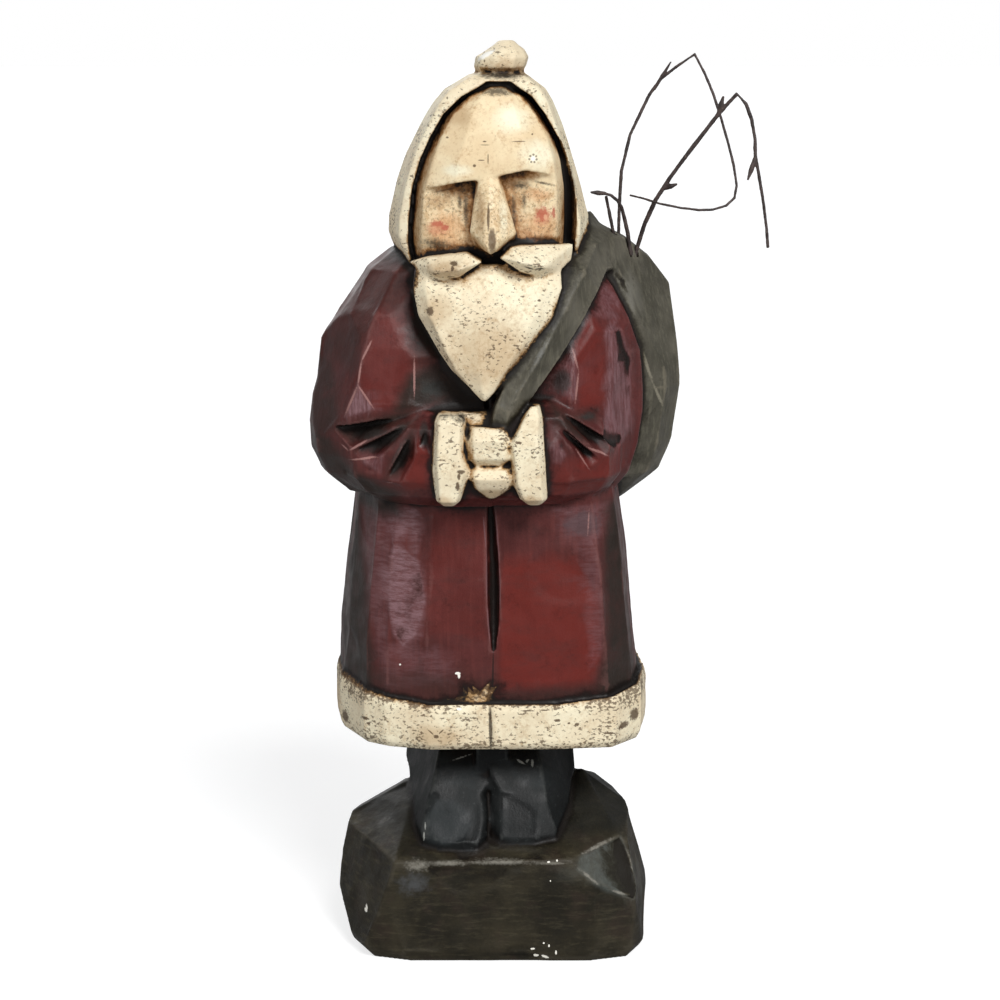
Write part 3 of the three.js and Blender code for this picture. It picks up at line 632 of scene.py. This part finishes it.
recess_glaze_and_shade = softener.soften(shelter(points, normals)[:, None], 3)[:, 0]
store("recess_glaze_and_shade", smooth_step(0.08, 0.62, recess_glaze_and_shade))
print("mean shelter:", round(float(recess_glaze_and_shade.mean()), 3))

# %% [markdown]
# ## Paint
#
# Every colour is mixed from the same few steps, so each step is a short helper that
# adds nodes to a material and gives back what they put out. Patterns are measured in
# metres on Object coordinates, so they stay at their real size.

# %% Helpers for mixing paint


def tint(red, green, blue):
    """A colour given as on a screen, as the light values that a shader needs."""
    def linear(value):
        value = value / 255
        return value / 12.92 if value <= 0.04045 else ((value + 0.055) / 1.055) ** 2.4

    return (linear(red), linear(green), linear(blue), 1.0)


class Recipe:
    """One material, and short ways to add nodes to it."""

    def __init__(self, name):
        self.material = bpy.data.materials.new(name)
        self.material.use_nodes = True
        self.tree = self.material.node_tree
        self.shader = self.tree.nodes["Principled BSDF"]
        self.place = self.add("ShaderNodeTexCoord", {}, "Object")
        self.made = {}

    def put(self, socket, value):
        if isinstance(value, bpy.types.NodeSocket):
            self.tree.links.new(value, socket)
        else:
            socket.default_value = value

    def add(self, kind, inputs, output=0, **settings):
        node = self.tree.nodes.new(kind)
        for key, value in settings.items():
            setattr(node, key, value)
        for key, value in inputs.items():
            self.put(node.inputs[key], value)
        return node.outputs[output]

    def once(self, key, make):
        """What make() gives, made only the first time that it is asked for."""
        if key not in self.made:
            self.made[key] = make()
        return self.made[key]

    def measure(self, name):
        """One of the numbers stored on the skin, such as its hollows."""
        return self.once(
            name, lambda: self.add("ShaderNodeAttribute", {}, "Fac", attribute_name=name)
        )

    def maths(self, operation, first, second=0.5):
        return self.add("ShaderNodeMath", {0: first, 1: second}, operation=operation)

    def total(self, *parts):
        """The sum of several (strength, value) pairs."""
        result = 0.0
        for strength, value in parts:
            values = {0: value, 1: strength, 2: result}
            result = self.add("ShaderNodeMath", values, operation="MULTIPLY_ADD")
        return result

    def noise(self, size, detail=3.0, stretch=(1, 1, 1), rough=0.55):
        """A cloudy pattern from 0 to 1, whose blots are about size mm wide."""
        def make():
            vector = self.place
            if stretch != (1, 1, 1):
                vector = self.add("ShaderNodeMapping", {"Vector": vector, "Scale": stretch})
            values = {"Vector": vector, "Scale": 1 / (size * MM), "Detail": detail}
            return self.add("ShaderNodeTexNoise", {**values, "Roughness": rough}, "Fac")

        return self.once((size, detail, stretch, rough), make)

    def axis(self, letter):
        """One of the three coordinates, in metres."""
        return self.once(
            letter, lambda: self.add("ShaderNodeSeparateXYZ", {0: self.place}, letter)
        )

    def between(self, value, low, high, start=0.0, end=1.0):
        """Value brought from low..high to start..end, with soft ends."""
        values = {"Value": value, 1: low, 2: high, 3: start, 4: end}
        return self.add("ShaderNodeMapRange", values, interpolation_type="SMOOTHSTEP")

    def blend(self, share, first, second, mode="MIX"):
        values = {"Factor": share, 6: first, 7: second}
        return self.add(
            "ShaderNodeMix", values, 2, data_type="RGBA", blend_type=mode, clamp_result=True
        )

    def stain(self, colour, paint, strength, places, soft=0.5, fray=0.3):
        """Paint over colour at places given as (x, y, z, half width, half height, turn)."""
        cover = 0.0
        grain = self.noise(max(0.5, min(2.5, 0.5 * min(places[0][3:5]))), 4, rough=0.65)
        for x, y, z, wide, high, *turn in places:
            values = {
                "Vector": self.place, "Location": (x * MM, y * MM, z * MM),
                "Rotation": (0, radians(turn[0]) if turn else 0, 0),
                "Scale": (wide * MM, max(wide, high, 6) * MM, high * MM),
            }
            spot = self.add("ShaderNodeMapping", values, vector_type="TEXTURE")
            way = self.add("ShaderNodeVectorMath", {0: spot}, "Value", operation="LENGTH")
            way = self.total((1.0, way), (2 * fray, grain))
            mask = self.between(way, 1 + fray - soft, 1 + fray, strength, 0.0)
            cover = self.maths("MAXIMUM", mask, cover)
        return self.blend(cover, colour, paint)

    def bump(self, height, size, strength=1.0):
        values = {"Height": height, "Distance": size * MM, "Strength": strength}
        return self.add("ShaderNodeBump", values)


GLAZE = tint(22, 17, 14)
print("glaze:", [round(value, 4) for value in GLAZE[:3]])

# %% [markdown]
# ## Which paint each face gets
#
# Each face takes the area of the CAD face next to it. A painter's edge is not a
# staircase, so the areas vote: a face joins the area that most of its neighbours have.
# The distance to the nearest edge between two paints is kept too, because dark glaze
# gathers along every such edge.

# %% Areas of the finished skin
from mathutils.kdtree import KDTree

point_area = nearest_area(points)
votes = np.eye(len(AREAS))[point_area]
votes = softener.soften(votes, 3)
triangle_points = [tuple(face.vertices) for face in skin.polygons]
face_votes = np.array([votes[list(corners)].mean(axis=0) for corners in triangle_points])
face_area = face_votes.argmax(axis=1).astype(np.int32)
skin.polygons.foreach_set("use_smooth", np.ones(len(skin.polygons), dtype=bool))

seen_area = np.full(len(points), -1)
edge_points = np.zeros(len(points), dtype=bool)
for area, corners in zip(face_area, triangle_points):
    for corner in corners:
        if seen_area[corner] not in (-1, area):
            edge_points[corner] = True
        seen_area[corner] = area
edges = np.flatnonzero(edge_points)
edge_tree = KDTree(len(edges))
for index in edges:
    edge_tree.insert(Vector(points[index]), int(index))
edge_tree.balance()
to_edge = np.array([edge_tree.find(Vector(point))[2] for point in points]) / MM
store("border", 1 - smooth_step(0.0, 2.6, to_edge))

places = points[:, [0, 2]] / MM
# Masks: worn places with a painted sheen, painted shade with glaze, and painted light
worn_and_sheen = patch_mask(points, normals, WORN_AND_SHEEN)
store("worn_and_sheen", worn_and_sheen)
store("dark", patch_mask(points, normals, SHADE_AND_GLAZE, soft=2.2))
store("painted_light", patch_mask(points, normals, PAINTED_LIGHT, soft=1.5))
print("faces of each paint:", dict(zip(AREAS, np.bincount(face_area, minlength=6))))

# %% [markdown]
# ## The paints of the casting
#
# All six share the same last steps. A dark glaze is wiped over everything and stays in
# the hollows and along the paint edges, where a noise pattern frays it. In sheltered
# places it is also painted shade. A pale dry brush then catches the ridges. The bump is
# the paint's own: brush marks and fine grit.

# %% Shared steps


def depth_of(recipe, hollow=0.7, recess_glaze_and_shade=0.6, border=0.55):
    """How much glaze stays at a point: more in hollows, along the paint's edges, and in sheltered
    places, where it is also painted shade.
    """
    return recipe.total(
        (hollow, recipe.measure("hollow")),
        (recess_glaze_and_shade, recipe.measure("recess_glaze_and_shade")),
        (border, recipe.measure("border")),
    )


def glaze_over(recipe, colour, depth, halo, fray=1.0, cover=1.0):
    """A stain round the hollows, then frayed solid glaze where it lies deepest."""
    grain, drift = recipe.noise(1.3, 5, rough=0.72), recipe.noise(6, 3)
    level = recipe.total((1.0, depth), (0.7 * fray, grain), (0.7 * fray, drift))
    start = 0.7 * fray
    stained = recipe.blend(recipe.between(level, start, start + 0.55), colour, halo, "MULTIPLY")
    solid_glaze = recipe.between(level, start + 0.35, start + 0.8, 0.0, cover)
    return recipe.blend(solid_glaze, stained, GLAZE)


def dry_brush(recipe, colour, pale, strength=0.6):
    """A pale colour on the ridges, broken up by the grain."""
    broken = recipe.total((1.0, recipe.measure("ridge")), (1.0, recipe.noise(1.2, 4, rough=0.7)))
    return recipe.blend(recipe.between(broken, 0.75, 1.35, 0.0, strength), colour, pale)


def finish_paint(
    recipe, colour, gloss, strokes=(1, 1, 0.12), grit=0.05, shine=0.28, worn_bump=None
):
    """Colour, roughness between two values, and the bump of brush marks and grit."""
    low, high = gloss
    rough = recipe.between(recipe.noise(8, 4), 0.35, 0.65, low, high)
    rough = recipe.total((1.0, rough), (0.25, recipe.measure("hollow")))
    brush = recipe.noise(0.9, 3, stretch=strokes)
    lumps = recipe.total((1.0, brush), (0.8, recipe.noise(0.5, 4)), (2.2, recipe.noise(3.5, 3)))
    if worn_bump is not None:
        cut = recipe.maths("MULTIPLY", worn_bump, recipe.measure("worn_and_sheen"))
        lumps = recipe.total((1.0, lumps), (5.0, cut))
        rough = recipe.total((1.0, rough), (-0.08, recipe.measure("worn_and_sheen")))
    recipe.put(recipe.shader.inputs["Base Color"], colour)
    recipe.put(recipe.shader.inputs["Roughness"], rough)
    recipe.put(recipe.shader.inputs["Specular IOR Level"], shine)
    recipe.put(recipe.shader.inputs["Normal"], recipe.bump(lumps, grit))
    print(recipe.material.name, "nodes:", len(recipe.tree.nodes))


print("shared steps ready")

# %% Strokes of a thin brush


def strokes(y, width, *paths):
    """Places for stain() along paths of (x, z) corners: each length tapers at its ends."""
    places = []
    for path in paths:
        for (x1, z1), (x2, z2) in zip(path, path[1:]):
            long, turn = hypot(x2 - x1, z2 - z1), atan2(z1 - z2, x2 - x1)
            middle = ((x1 + x2) / 2, y, (z1 + z2) / 2)
            places.append((*middle, 0.62 * long, width, degrees(turn)))
    return places


print("a stroke:", strokes(-30, 0.4, [(0, 0), (3, 4)]))

# %% Coat
coat = Recipe("coat_red")
clouds = coat.between(coat.noise(16, 4), 0.35, 0.7)
streaks = coat.between(coat.noise(1.4, 4, stretch=(1, 1, 0.08)), 0.4, 0.7, 0.0, 0.22)
colour = coat.blend(clouds, tint(76, 33, 31), tint(92, 42, 40))
colour = coat.blend(streaks, colour, tint(120, 60, 54))
# Painted light: a brighter, fuller red where the light falls on the coat
painted_light = coat.maths("MULTIPLY", coat.measure("painted_light"), 0.85)
colour = coat.blend(painted_light, colour, tint(106, 35, 28))
smears = coat.between(coat.noise(5, 5, stretch=(0.5, 0.5, 1), rough=0.65), 0.45, 0.75, 0.0, 0.35)
colour = coat.blend(smears, colour, tint(62, 38, 36))

# Worn flats with a painted sheen: chatter across the skirt, long streaks down the sleeves
low_down = coat.between(coat.axis("Z"), 0.146, 0.15)
chatter = coat.noise(1.8, 5, stretch=(0.35, 0.35, 1.6), rough=0.72)
drawn = coat.noise(1.2, 5, stretch=(1.3, 1.3, 0.16), rough=0.7)
grain = coat.add("ShaderNodeMix", {0: low_down, 2: chatter, 3: drawn})
mottle = coat.between(grain, 0.36, 0.64, 0.3, 1.0)
worn_and_sheen = coat.maths("MULTIPLY", coat.measure("worn_and_sheen"), mottle)
colour = coat.blend(worn_and_sheen, colour, tint(134, 100, 104))
# Painted shade, with glaze in the folds: a dark brown over the outlines in SHADE_AND_GLAZE
patchy = coat.between(coat.noise(6, 4), 0.2, 0.6, 0.8, 1.0)
shade = coat.maths("MULTIPLY", coat.measure("dark"), patchy)
colour = coat.blend(shade, colour, tint(40, 30, 24))
# Dark glaze in the folds under the arms, and painted shade under the beard's tip
colour = coat.stain(colour, tint(44, 46, 44), 0.75, [
    (-37, -36, 164.5, 8, 2.6, -15), (-30, -39, 164, 8, 2, -40), (-27, -41, 160, 7, 1.6, -62),
    (-20, -42, 166, 2, 4.5), (-17, -38, 178, 6, 4), (28, -33, 169.5, 4, 1.8), (21, -35, 180, 4, 5),
], soft=0.6, fray=0.4)
# A painted reflection: a grey-purple patch on the upper skirt at his left
colour = coat.stain(colour, tint(78, 70, 74), 0.5, [(27, -30, 136, 8, 5)], soft=0.5, fray=0.5)
colour = dry_brush(coat, colour, tint(132, 88, 84), 0.25)
colour = glaze_over(coat, colour, depth_of(coat), tint(150, 120, 110), cover=0.9)
# Pale lines on the fold and elbow edges: dry brush, and painted highlights where the edges catch the
# light
colour = coat.stain(colour, tint(160, 118, 112), 0.8, strokes(
    -35, 0.42,
    [(-35.6, 192.4), (-38.8, 186), (-39.9, 179), (-44, 169.4)],
    [(-39.8, 179), (-35, 172)], [(-23, 187), (-23, 175.5)],
    [(-47.8, 164.5), (-46, 161), (-43, 158.8), (-37, 162.6)],
    [(-43, 156), (-33, 157.8), (-31, 159.4), (-25, 164.6)],
    [(-23, 166), (-21, 162.2), (-17.8, 160)], [(-32, 150), (-28, 150.6), (-23, 158.6)],
    [(24, 190), (26, 183), (25, 174)], [(19, 168), (27, 161.6), (35, 157.4)],
    [(24, 162), (29.4, 153.6)], [(29.6, 142), (29, 132)],
), soft=0.5, fray=0.45)
# Pale lines along the edges of the skirt's slit; the one at his left is a painted highlight of the lit
# edge
colour = coat.stain(colour, tint(120, 84, 86), 0.7, strokes(
    -34, 0.3, [(-2.6, 139), (-1.6, 128), (-1.5, 112), (-0.6, 100)], [(1.2, 140), (2.4, 124), (2.5, 110)],
), soft=0.5)
colour = coat.stain(colour, GLAZE, 0.75, strokes(-35, 0.4, [(0.5, 98), (0.1, 80)]), soft=0.6)
colour = coat.stain(colour, tint(250, 246, 236), 1.0, [
    (-10.4, -35, 90.2, 0.9, 0.5), (-10, -35, 89.4, 0.45, 0.8), (-28, -33, 92.5, 0.3, 0.3),
], soft=0.2, fray=0.5)
finish_paint(coat, colour, (0.36, 0.52), worn_bump=grain)

# %% Fur, moustache, beard, hands and hood
CREAM = tint(246, 236, 206)
TAN = tint(190, 160, 120)
BROWN = tint(88, 68, 48)
WHITE = tint(252, 250, 242)
fur = Recipe("fur_cream")
clouds = fur.between(fur.noise(12, 4), 0.35, 0.68)
colour = fur.blend(clouds, tint(234, 218, 186), CREAM)
# Tan wash; on the hood's side away from the light it is also painted shade
colour = fur.stain(colour, TAN, 0.62, [
    (-1, -47, 190, 17, 14), (-16, -45, 203, 7, 8), (-14, -43, 214, 9, 4), (-38, 0, 238, 12, 30),
    (3, -20, 273, 8, 4), (-51, -4, 74, 7, 12), (52, -4, 76, 8, 12), (-17, -37, 71, 12, 5),
    (-14, -50, 146, 4, 3), (11, -50, 146, 5, 3), (0, -48, 148, 6, 3),
], soft=0.7)
colour = fur.stain(colour, CREAM, 0.9, [
    (13, -40, 207, 9, 3), (14, -44, 217, 8, 3), (19, -24, 254, 3, 12, 25),
], soft=0.6)
mottle = fur.total((0.6, fur.noise(4.5, 5, rough=0.7)), (0.5, fur.noise(1.1, 4, rough=0.65)))
colour = fur.blend(fur.between(mottle, 0.52, 0.82, 0.0, 0.55), colour, TAN, "MULTIPLY")
low_edge = fur.between(fur.axis("Z"), 0.0655, 0.0715, 1.0, 0.0)
high_edge = fur.between(fur.axis("Z"), 0.0765, 0.0815)
hem_edge = fur.between(fur.axis("Z"), 0.09, 0.1, 1.0, 0.0)
hem_edge = fur.maths("MULTIPLY", hem_edge, fur.maths("MAXIMUM", low_edge, high_edge))
specks = fur.total(
    (1.0, fur.noise(1.0, 3, stretch=(0.8, 0.8, 1.3), rough=0.6)), (0.4, fur.noise(8, 3)),
    (0.12, fur.measure("border")), (0.11, hem_edge),
)
colour = fur.blend(fur.between(specks, 0.78, 0.86, 0.0, 0.8), colour, BROWN)
colour = fur.stain(colour, BROWN, 0.9, [
    (-9, -51, 155.4, 1.4, 0.8), (-9.6, -51, 154, 0.6, 1.2), (-10, -50, 151, 0.8, 1.6),
    (8, -50, 164, 1.2, 0.5), (-11, -44, 216, 1.4, 0.9), (-11.4, -44, 214.6, 0.6, 0.9),
    (-18, -43, 202, 1.3, 1.6), (-39, -28, 74.4, 1.6, 0.6), (-38, -28, 73, 0.8, 0.5),
    (-17, -37, 71, 1.0, 0.7), (-18.6, -37, 72.4, 1.2, 0.25, 40), (-15.4, -37, 72.6, 1.2, 0.25, -45),
    (20, -37, 76, 1.2, 0.6), (26, -36, 74.5, 0.9, 0.6), (23.5, -36, 75, 0.5, 0.4),
    (11, -37, 79, 2.4, 0.25), (16, -37, 79.2, 1.8, 0.3), (9, -37, 78, 1.6, 0.2),
    (14, -41, 205, 0.6, 0.5), (40, -30, 73, 2.6, 1.4), (44, -26, 75, 2, 2.4), (36, -33, 71.4, 2.4, 0.5),
    (-46, -14, 71, 1.6, 2.4),
], soft=0.4, fray=0.7)
colour = glaze_over(fur, colour, depth_of(fur, 0.6, 0.5, 0.6), tint(186, 152, 112), fray=1.3)
# Glaze, which is also painted shade under the beard's tip, under the moustache, under the pompom and
# inside the hood's opening at his left cheek
colour = fur.stain(colour, GLAZE, 0.95, [
    (-13, -49, 173, 6.5, 3), (11, -49, 176, 6, 2.4), (-6, -47, 172, 7, 3.6), (4, -48, 171, 4, 3),
    (6, -48, 167, 1.4, 3), (-7, -48, 167, 1.2, 4), (3, -20, 269.6, 10, 2.2), (23.5, -24, 233, 2.2, 13),
    (-12, -8, 266.5, 8, 0.8, -30), (17, -8, 264, 6, 0.8, 40), (-2, -16, 278, 4, 1, -32),
], soft=0.6, fray=0.5)
colour = fur.stain(colour, GLAZE, 0.85, [
    *strokes(-44, 0.35, [(9.6, 215.2), (12.5, 214.2), (15.6, 214.6)]),
    *strokes(-37, 0.75, [(-0.6, 82), (-0.2, 65)]), *strokes(-26, 0.5, [(-46, 84), (-41, 77)]),
], soft=0.6)
colour = fur.stain(colour, WHITE, 0.95, [
    (-1.6, -19, 275.6, 3.6, 0.9, -30), (-10, -37, 79.6, 1.0, 0.5), (3, -48, 173, 2.6, 0.3, 35),
    (7, -48, 171.4, 3, 0.3, -20),
], soft=0.4, fray=0.5)
finish_paint(fur, colour, (0.5, 0.65), strokes=(1, 1, 1), grit=0.07)

# %% Face
face = Recipe("face_skin")
clouds = face.between(face.noise(10, 4), 0.35, 0.68)
colour = face.blend(clouds, tint(232, 208, 168), tint(242, 224, 186))
# Brown wash on the sides of the face; on the nose's side away from the light it is painted shade
colour = face.stain(colour, tint(196, 166, 126), 0.75, [
    (-11, -30, 259, 10, 4.5, 30), (-19, -26, 246, 3.5, 13, 12), (-22, -24, 230, 3, 16),
    (22, -25, 232, 2.4, 16), (-3, -40, 230, 2.2, 9), (-16, -30, 233, 6, 3),
], soft=0.7)
# Pale paint above the brows, and painted highlights on the forehead and on the nose's side that faces
# the light
colour = face.stain(colour, tint(250, 244, 216), 0.8, [
    (13, -32, 247, 8, 6), (6, -31, 257, 8, 6), (-10, -35, 242.6, 6, 2.4), (3.6, -42, 230, 2, 8),
], soft=0.7)
colour = face.stain(colour, tint(218, 168, 120), 0.7, [
    (-14, -33, 225, 7.5, 8), (15, -33, 225, 7.5, 8), (14, -32, 235, 5, 3),
], soft=0.7)
grime = face.total((0.6, face.noise(4, 5, rough=0.7)), (0.6, face.noise(1.0, 4, rough=0.7)))
# Darker below the brows: wash in the eye hollows, and painted shade under the brow ledge
brow_wash_and_shade = face.between(face.axis("Z"), 0.236, 0.242, 0.1, 0.0)
colour = face.blend(
    face.between(face.maths("ADD", grime, brow_wash_and_shade), 0.6, 0.9, 0.0, 0.6), colour, TAN, "MULTIPLY"
)
fine = face.total((1.0, face.noise(0.9, 4, rough=0.7)), (1.2, brow_wash_and_shade))
colour = face.blend(face.between(fine, 0.66, 0.76, 0.0, 0.5), colour, BROWN)
colour = face.stain(colour, tint(178, 84, 66), 0.8, [
    (-16, -33, 226.6, 3.0, 1.3), (-13.8, -33, 225.6, 1.6, 1.2), (15, -33, 229.5, 2.6, 2.8),
    (18.4, -32, 230, 0.7, 2.2),
], soft=0.5, fray=0.8)
colour = face.stain(colour, tint(196, 112, 86), 0.45, [
    (-16, -33, 225, 4.4, 2.4), (15, -33, 229, 3.6, 3.8),
], soft=0.7, fray=0.7)
colour = face.stain(colour, tint(226, 176, 140), 0.8, [(16, -33, 228.6, 0.8, 1.2)], fray=0.5)
# Brown lines of the brows and the nose's ridge; the broad mark at the nose's tip is a painted shadow
colour = face.stain(colour, BROWN, 0.85, [
    (0.2, -43, 222.6, 1.5, 4.5), (-0.9, -41, 229, 0.5, 5), (-5, -36, 244, 0.55, 0.5),
    (-2, -35, 251, 0.7, 0.25), (12, -32, 253, 0.35, 0.35), (-13, -32, 252, 0.5, 0.35),
    (8, -33, 251, 2.6, 0.2), (-2, -35, 250, 1.6, 0.15), (-1, -36, 246, 0.2, 1.8),
    (-3, -36, 245.6, 1.2, 0.2),
], soft=0.4)
ring = [(12.2 + 1.1 * cos(a), -34, 246 + 1.1 * sin(a), 0.42, 0.42) for a in np.linspace(0.6, 6, 7)]
colour = face.stain(colour, WHITE, 0.9, [(12.2, -34, 246, 1, 1)], fray=0.2)
colour = face.stain(colour, BROWN, 0.75, ring, soft=0.5, fray=0.5)
# Glaze streaks in the eye hollows beside the nose, and painted shade under the brows
colour = face.stain(colour, GLAZE, 0.8, [
    (-7.6, -32, 231, 1.3, 8), (-9.4, -32, 233, 1, 4), (6.6, -34, 231, 1.1, 8.5),
    (9.6, -33, 233.5, 1, 4), (8.6, -32, 237.8, 4, 1.5), (-8.4, -33, 236.4, 2.4, 1.2),
    (15.4, -32, 238.6, 4.6, 0.6, 12), (-13.6, -33, 236.6, 5, 0.5, -12),
], soft=0.9, fray=0.8)
# Glaze in the crevice round the face; at his left cheek's edge it is also painted shade inside the
# hood's opening
colour = face.stain(colour, GLAZE, 0.8, [
    (2, -29, 265.4, 8, 2), (12.4, -28, 260.6, 5, 1.2, 48), (-9, -29, 262, 6, 0.9, -42),
    (-16, -31, 220.6, 7, 2.2, 6), (14, -31, 222, 7, 1.6), (23, -24, 232, 1.6, 13),
], soft=0.8, fray=0.9)
colour = glaze_over(face, colour, depth_of(face, 0.25, 0.45, 0.5), tint(190, 150, 108), fray=1.3)
finish_paint(face, colour, (0.42, 0.55), strokes=(1, 1, 1), grit=0.05)

# %% Sack
sack = Recipe("sack_olive")
clouds = sack.between(sack.noise(14, 4), 0.35, 0.68)
colour = sack.blend(clouds, tint(68, 65, 55), tint(92, 88, 77))
# Worn flats, painted paler, with a painted sheen
worn_and_sheen = sack.maths("MULTIPLY", sack.measure("worn_and_sheen"), 0.6)
colour = sack.blend(worn_and_sheen, colour, tint(130, 127, 118))
drawn = sack.between(sack.noise(1.3, 5, stretch=(1, 1, 0.15), rough=0.7), 0.45, 0.7, 0.0, 0.4)
colour = sack.blend(drawn, colour, tint(118, 114, 98))
blots = sack.between(sack.noise(3.5, 5, rough=0.7), 0.56, 0.72, 0.0, 0.5)
colour = sack.blend(blots, colour, tint(46, 42, 32))
# Pale along the strap's ridge and the sack's edge: rubbed paint, and painted highlights where the ridges
# catch the light
colour = sack.stain(colour, tint(124, 124, 120), 0.7, strokes(
    -40, 1.2, [(17, 194), (11, 183), (4, 174)], [(26, 207), (24, 199)],
), soft=0.8, fray=0.6)
colour = sack.stain(colour, tint(150, 144, 126), 0.6, strokes(
    -4, 0.7, [(43, 195), (45, 189), (50, 175), (54, 166)],
), soft=0.6, fray=0.6)
colour = dry_brush(sack, colour, tint(136, 128, 110), 0.35)
colour = glaze_over(sack, colour, depth_of(sack), tint(150, 145, 130), cover=0.85)
finish_paint(sack, colour, (0.42, 0.58))

# %% Boots
boots = Recipe("boots_black")
clouds = boots.between(boots.noise(8, 4), 0.35, 0.68)
colour = boots.blend(clouds, tint(14, 15, 15), tint(25, 28, 28))
# Worn flats: a grey-blue painted sheen on the black, with some real wear
worn_and_sheen = boots.maths("MULTIPLY", boots.measure("worn_and_sheen"), 0.5)
colour = boots.blend(worn_and_sheen, colour, tint(50, 56, 58))
scuffs = boots.between(boots.noise(1.2, 5, rough=0.75), 0.58, 0.72, 0.0, 0.3)
colour = boots.blend(scuffs, colour, tint(84, 88, 88))
colour = dry_brush(boots, colour, tint(84, 86, 84), 0.25)
colour = glaze_over(boots, colour, depth_of(boots), tint(150, 150, 150), cover=0.8)
colour = boots.stain(colour, tint(150, 150, 144), 0.8, [
    (9, -22, 58.4, 1.6, 0.4, 30), (11, -22, 58.6, 0.8, 0.4, -40), (12.6, -22, 58, 0.5, 1.2),
    (-21, -34, 38, 0.3, 1.6), (-20.6, -33, 41, 0.3, 1.2), (-9, -24, 59.6, 4.5, 0.35, -16),
], soft=0.4, fray=0.8)
finish_paint(boots, colour, (0.42, 0.58), shine=0.2)

# %% Rock
rock = Recipe("rock_brown")
clouds = rock.between(rock.noise(13, 5, rough=0.62), 0.35, 0.68)
colour = rock.blend(clouds, tint(30, 27, 19), tint(50, 45, 33))
ruddy = rock.between(rock.noise(9, 3), 0.5, 0.7, 0.0, 0.4)
colour = rock.blend(ruddy, colour, tint(52, 40, 34))
swept = rock.between(rock.noise(1.6, 6, stretch=(0.2, 0.2, 1), rough=0.72), 0.48, 0.72, 0.0, 0.5)
colour = rock.blend(swept, colour, tint(76, 70, 54))
up_top = rock.between(rock.axis("Z"), 0.034, 0.04, 0.0, 0.7)
colour = rock.blend(up_top, colour, tint(26, 27, 25))
# Worn flat, painted paler, with a painted sheen
worn_and_sheen = rock.between(rock.noise(2, 5, rough=0.7), 0.3, 0.65, 0.55, 1.0)
worn_and_sheen = rock.maths("MULTIPLY", worn_and_sheen, rock.measure("worn_and_sheen"))
colour = rock.blend(worn_and_sheen, colour, tint(84, 88, 84))
colour = rock.stain(colour, tint(140, 136, 126), 0.75, [
    (-23, -40, 30.6, 5, 2.4), (-13, -40, 31.4, 8, 1.1), (3, -40, 31.8, 14, 1.0),
    (18, -40, 31.6, 7, 0.6), (32, -32, 34.6, 8, 0.7, -14), (30, -40, 27, 5, 0.6, 40),
    (40, -38, 21, 5, 0.5, 22), (43, -34, 29, 1, 8, -20),
], soft=1.0, fray=0.9)
colour = rock.stain(colour, tint(84, 86, 88), 0.6, [(-24, -41, 25, 7, 5)], soft=1.0, fray=0.8)
colour = dry_brush(rock, colour, tint(96, 90, 78), 0.2)
colour = glaze_over(rock, colour, depth_of(rock), tint(160, 150, 130), cover=0.7)
colour = rock.stain(colour, tint(246, 242, 230), 1.0, [
    (-39, -33, 14.6, 0.35, 0.8), (-39.3, -33, 13.6, 0.55, 0.7), (12.6, -41, 4.2, 0.8, 0.35),
    (13.6, -41, 2, 0.9, 0.5), (16.4, -41, 1.6, 1.3, 0.5, 20), (17.6, -41, 5.2, 0.3, 0.5),
    (19.8, -41, 3, 0.35, 0.8), (16, -41, 6, 0.3, 0.3), (17.4, -40, 32, 0.5, 0.3),
    (20, -40, 32.4, 0.3, 0.3), (18, -40, 26, 0.25, 0.3),
], soft=0.25, fray=0.7)
finish_paint(rock, colour, (0.46, 0.62), strokes=(0.3, 0.3, 1), grit=0.1, shine=0.2)

skin.materials.clear()
for paint in (coat, fur, face, sack, boots, rock):
    skin.materials.append(paint.material)
skin.polygons.foreach_set("material_index", face_area)
skin.update()
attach(casting, "root")
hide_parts("figure")
print("paints:", [material.name for material in skin.materials])

# %% [markdown]
# ## The dry twigs
#
# These are real twigs, so their bark is wrinkled lengthwise and has a swelling at each
# bud. The CAD gives each one's path and thickness. A fine remesh rounds the joints
# between its straight lengths, and a noise pattern raises the bark by a tenth of a
# millimetre.

# %% Twigs
from mathutils import noise

bark = Recipe("bark_dark")
clouds = bark.between(bark.noise(3, 4), 0.35, 0.68)
colour = bark.blend(clouds, tint(40, 30, 28), tint(74, 60, 56))
scars = bark.between(bark.noise(0.7, 3), 0.62, 0.72, 0.0, 0.6)
colour = bark.blend(scars, colour, tint(128, 110, 98))
bark.put(bark.shader.inputs["Base Color"], colour)
bark.put(bark.shader.inputs["Roughness"], 0.6)
bark.put(bark.shader.inputs["Normal"], bark.bump(bark.noise(0.4, 4), 0.12))

for node in ("twig_arched", "twig_looped", "twig_hooked", "twig_short"):
    twig = fine_skin(node, "dry_" + node, 0.2 * MM)
    rounder = Softener(twig.data)
    path = rounder.soften(read_points(twig.data), 3)
    write_points(twig.data, path)
    outward = read_normals(twig.data)
    wrinkle = np.array([noise.noise(Vector(point) * 900) for point in path])
    knot = np.array([noise.noise(Vector(point) * 160) for point in path])
    path = path + outward * ((0.07 * wrinkle + 0.1 * knot) * MM)[:, None]
    write_points(twig.data, path)
    twig.data.polygons.foreach_set("use_smooth", np.ones(len(twig.data.polygons), dtype=bool))
    twig.data.materials.clear()
    twig.data.materials.append(bark.material)
    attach(twig, "root")
    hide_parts(node)
    print(twig.name, len(twig.data.polygons), "faces")

# %% Size of the whole
final_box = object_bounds()
[[list(corner) for corner in box] for box in (cad_box, final_box)]
print("size in mm:", [round(value / MM, 1) for value in final_box[1] - final_box[0]])
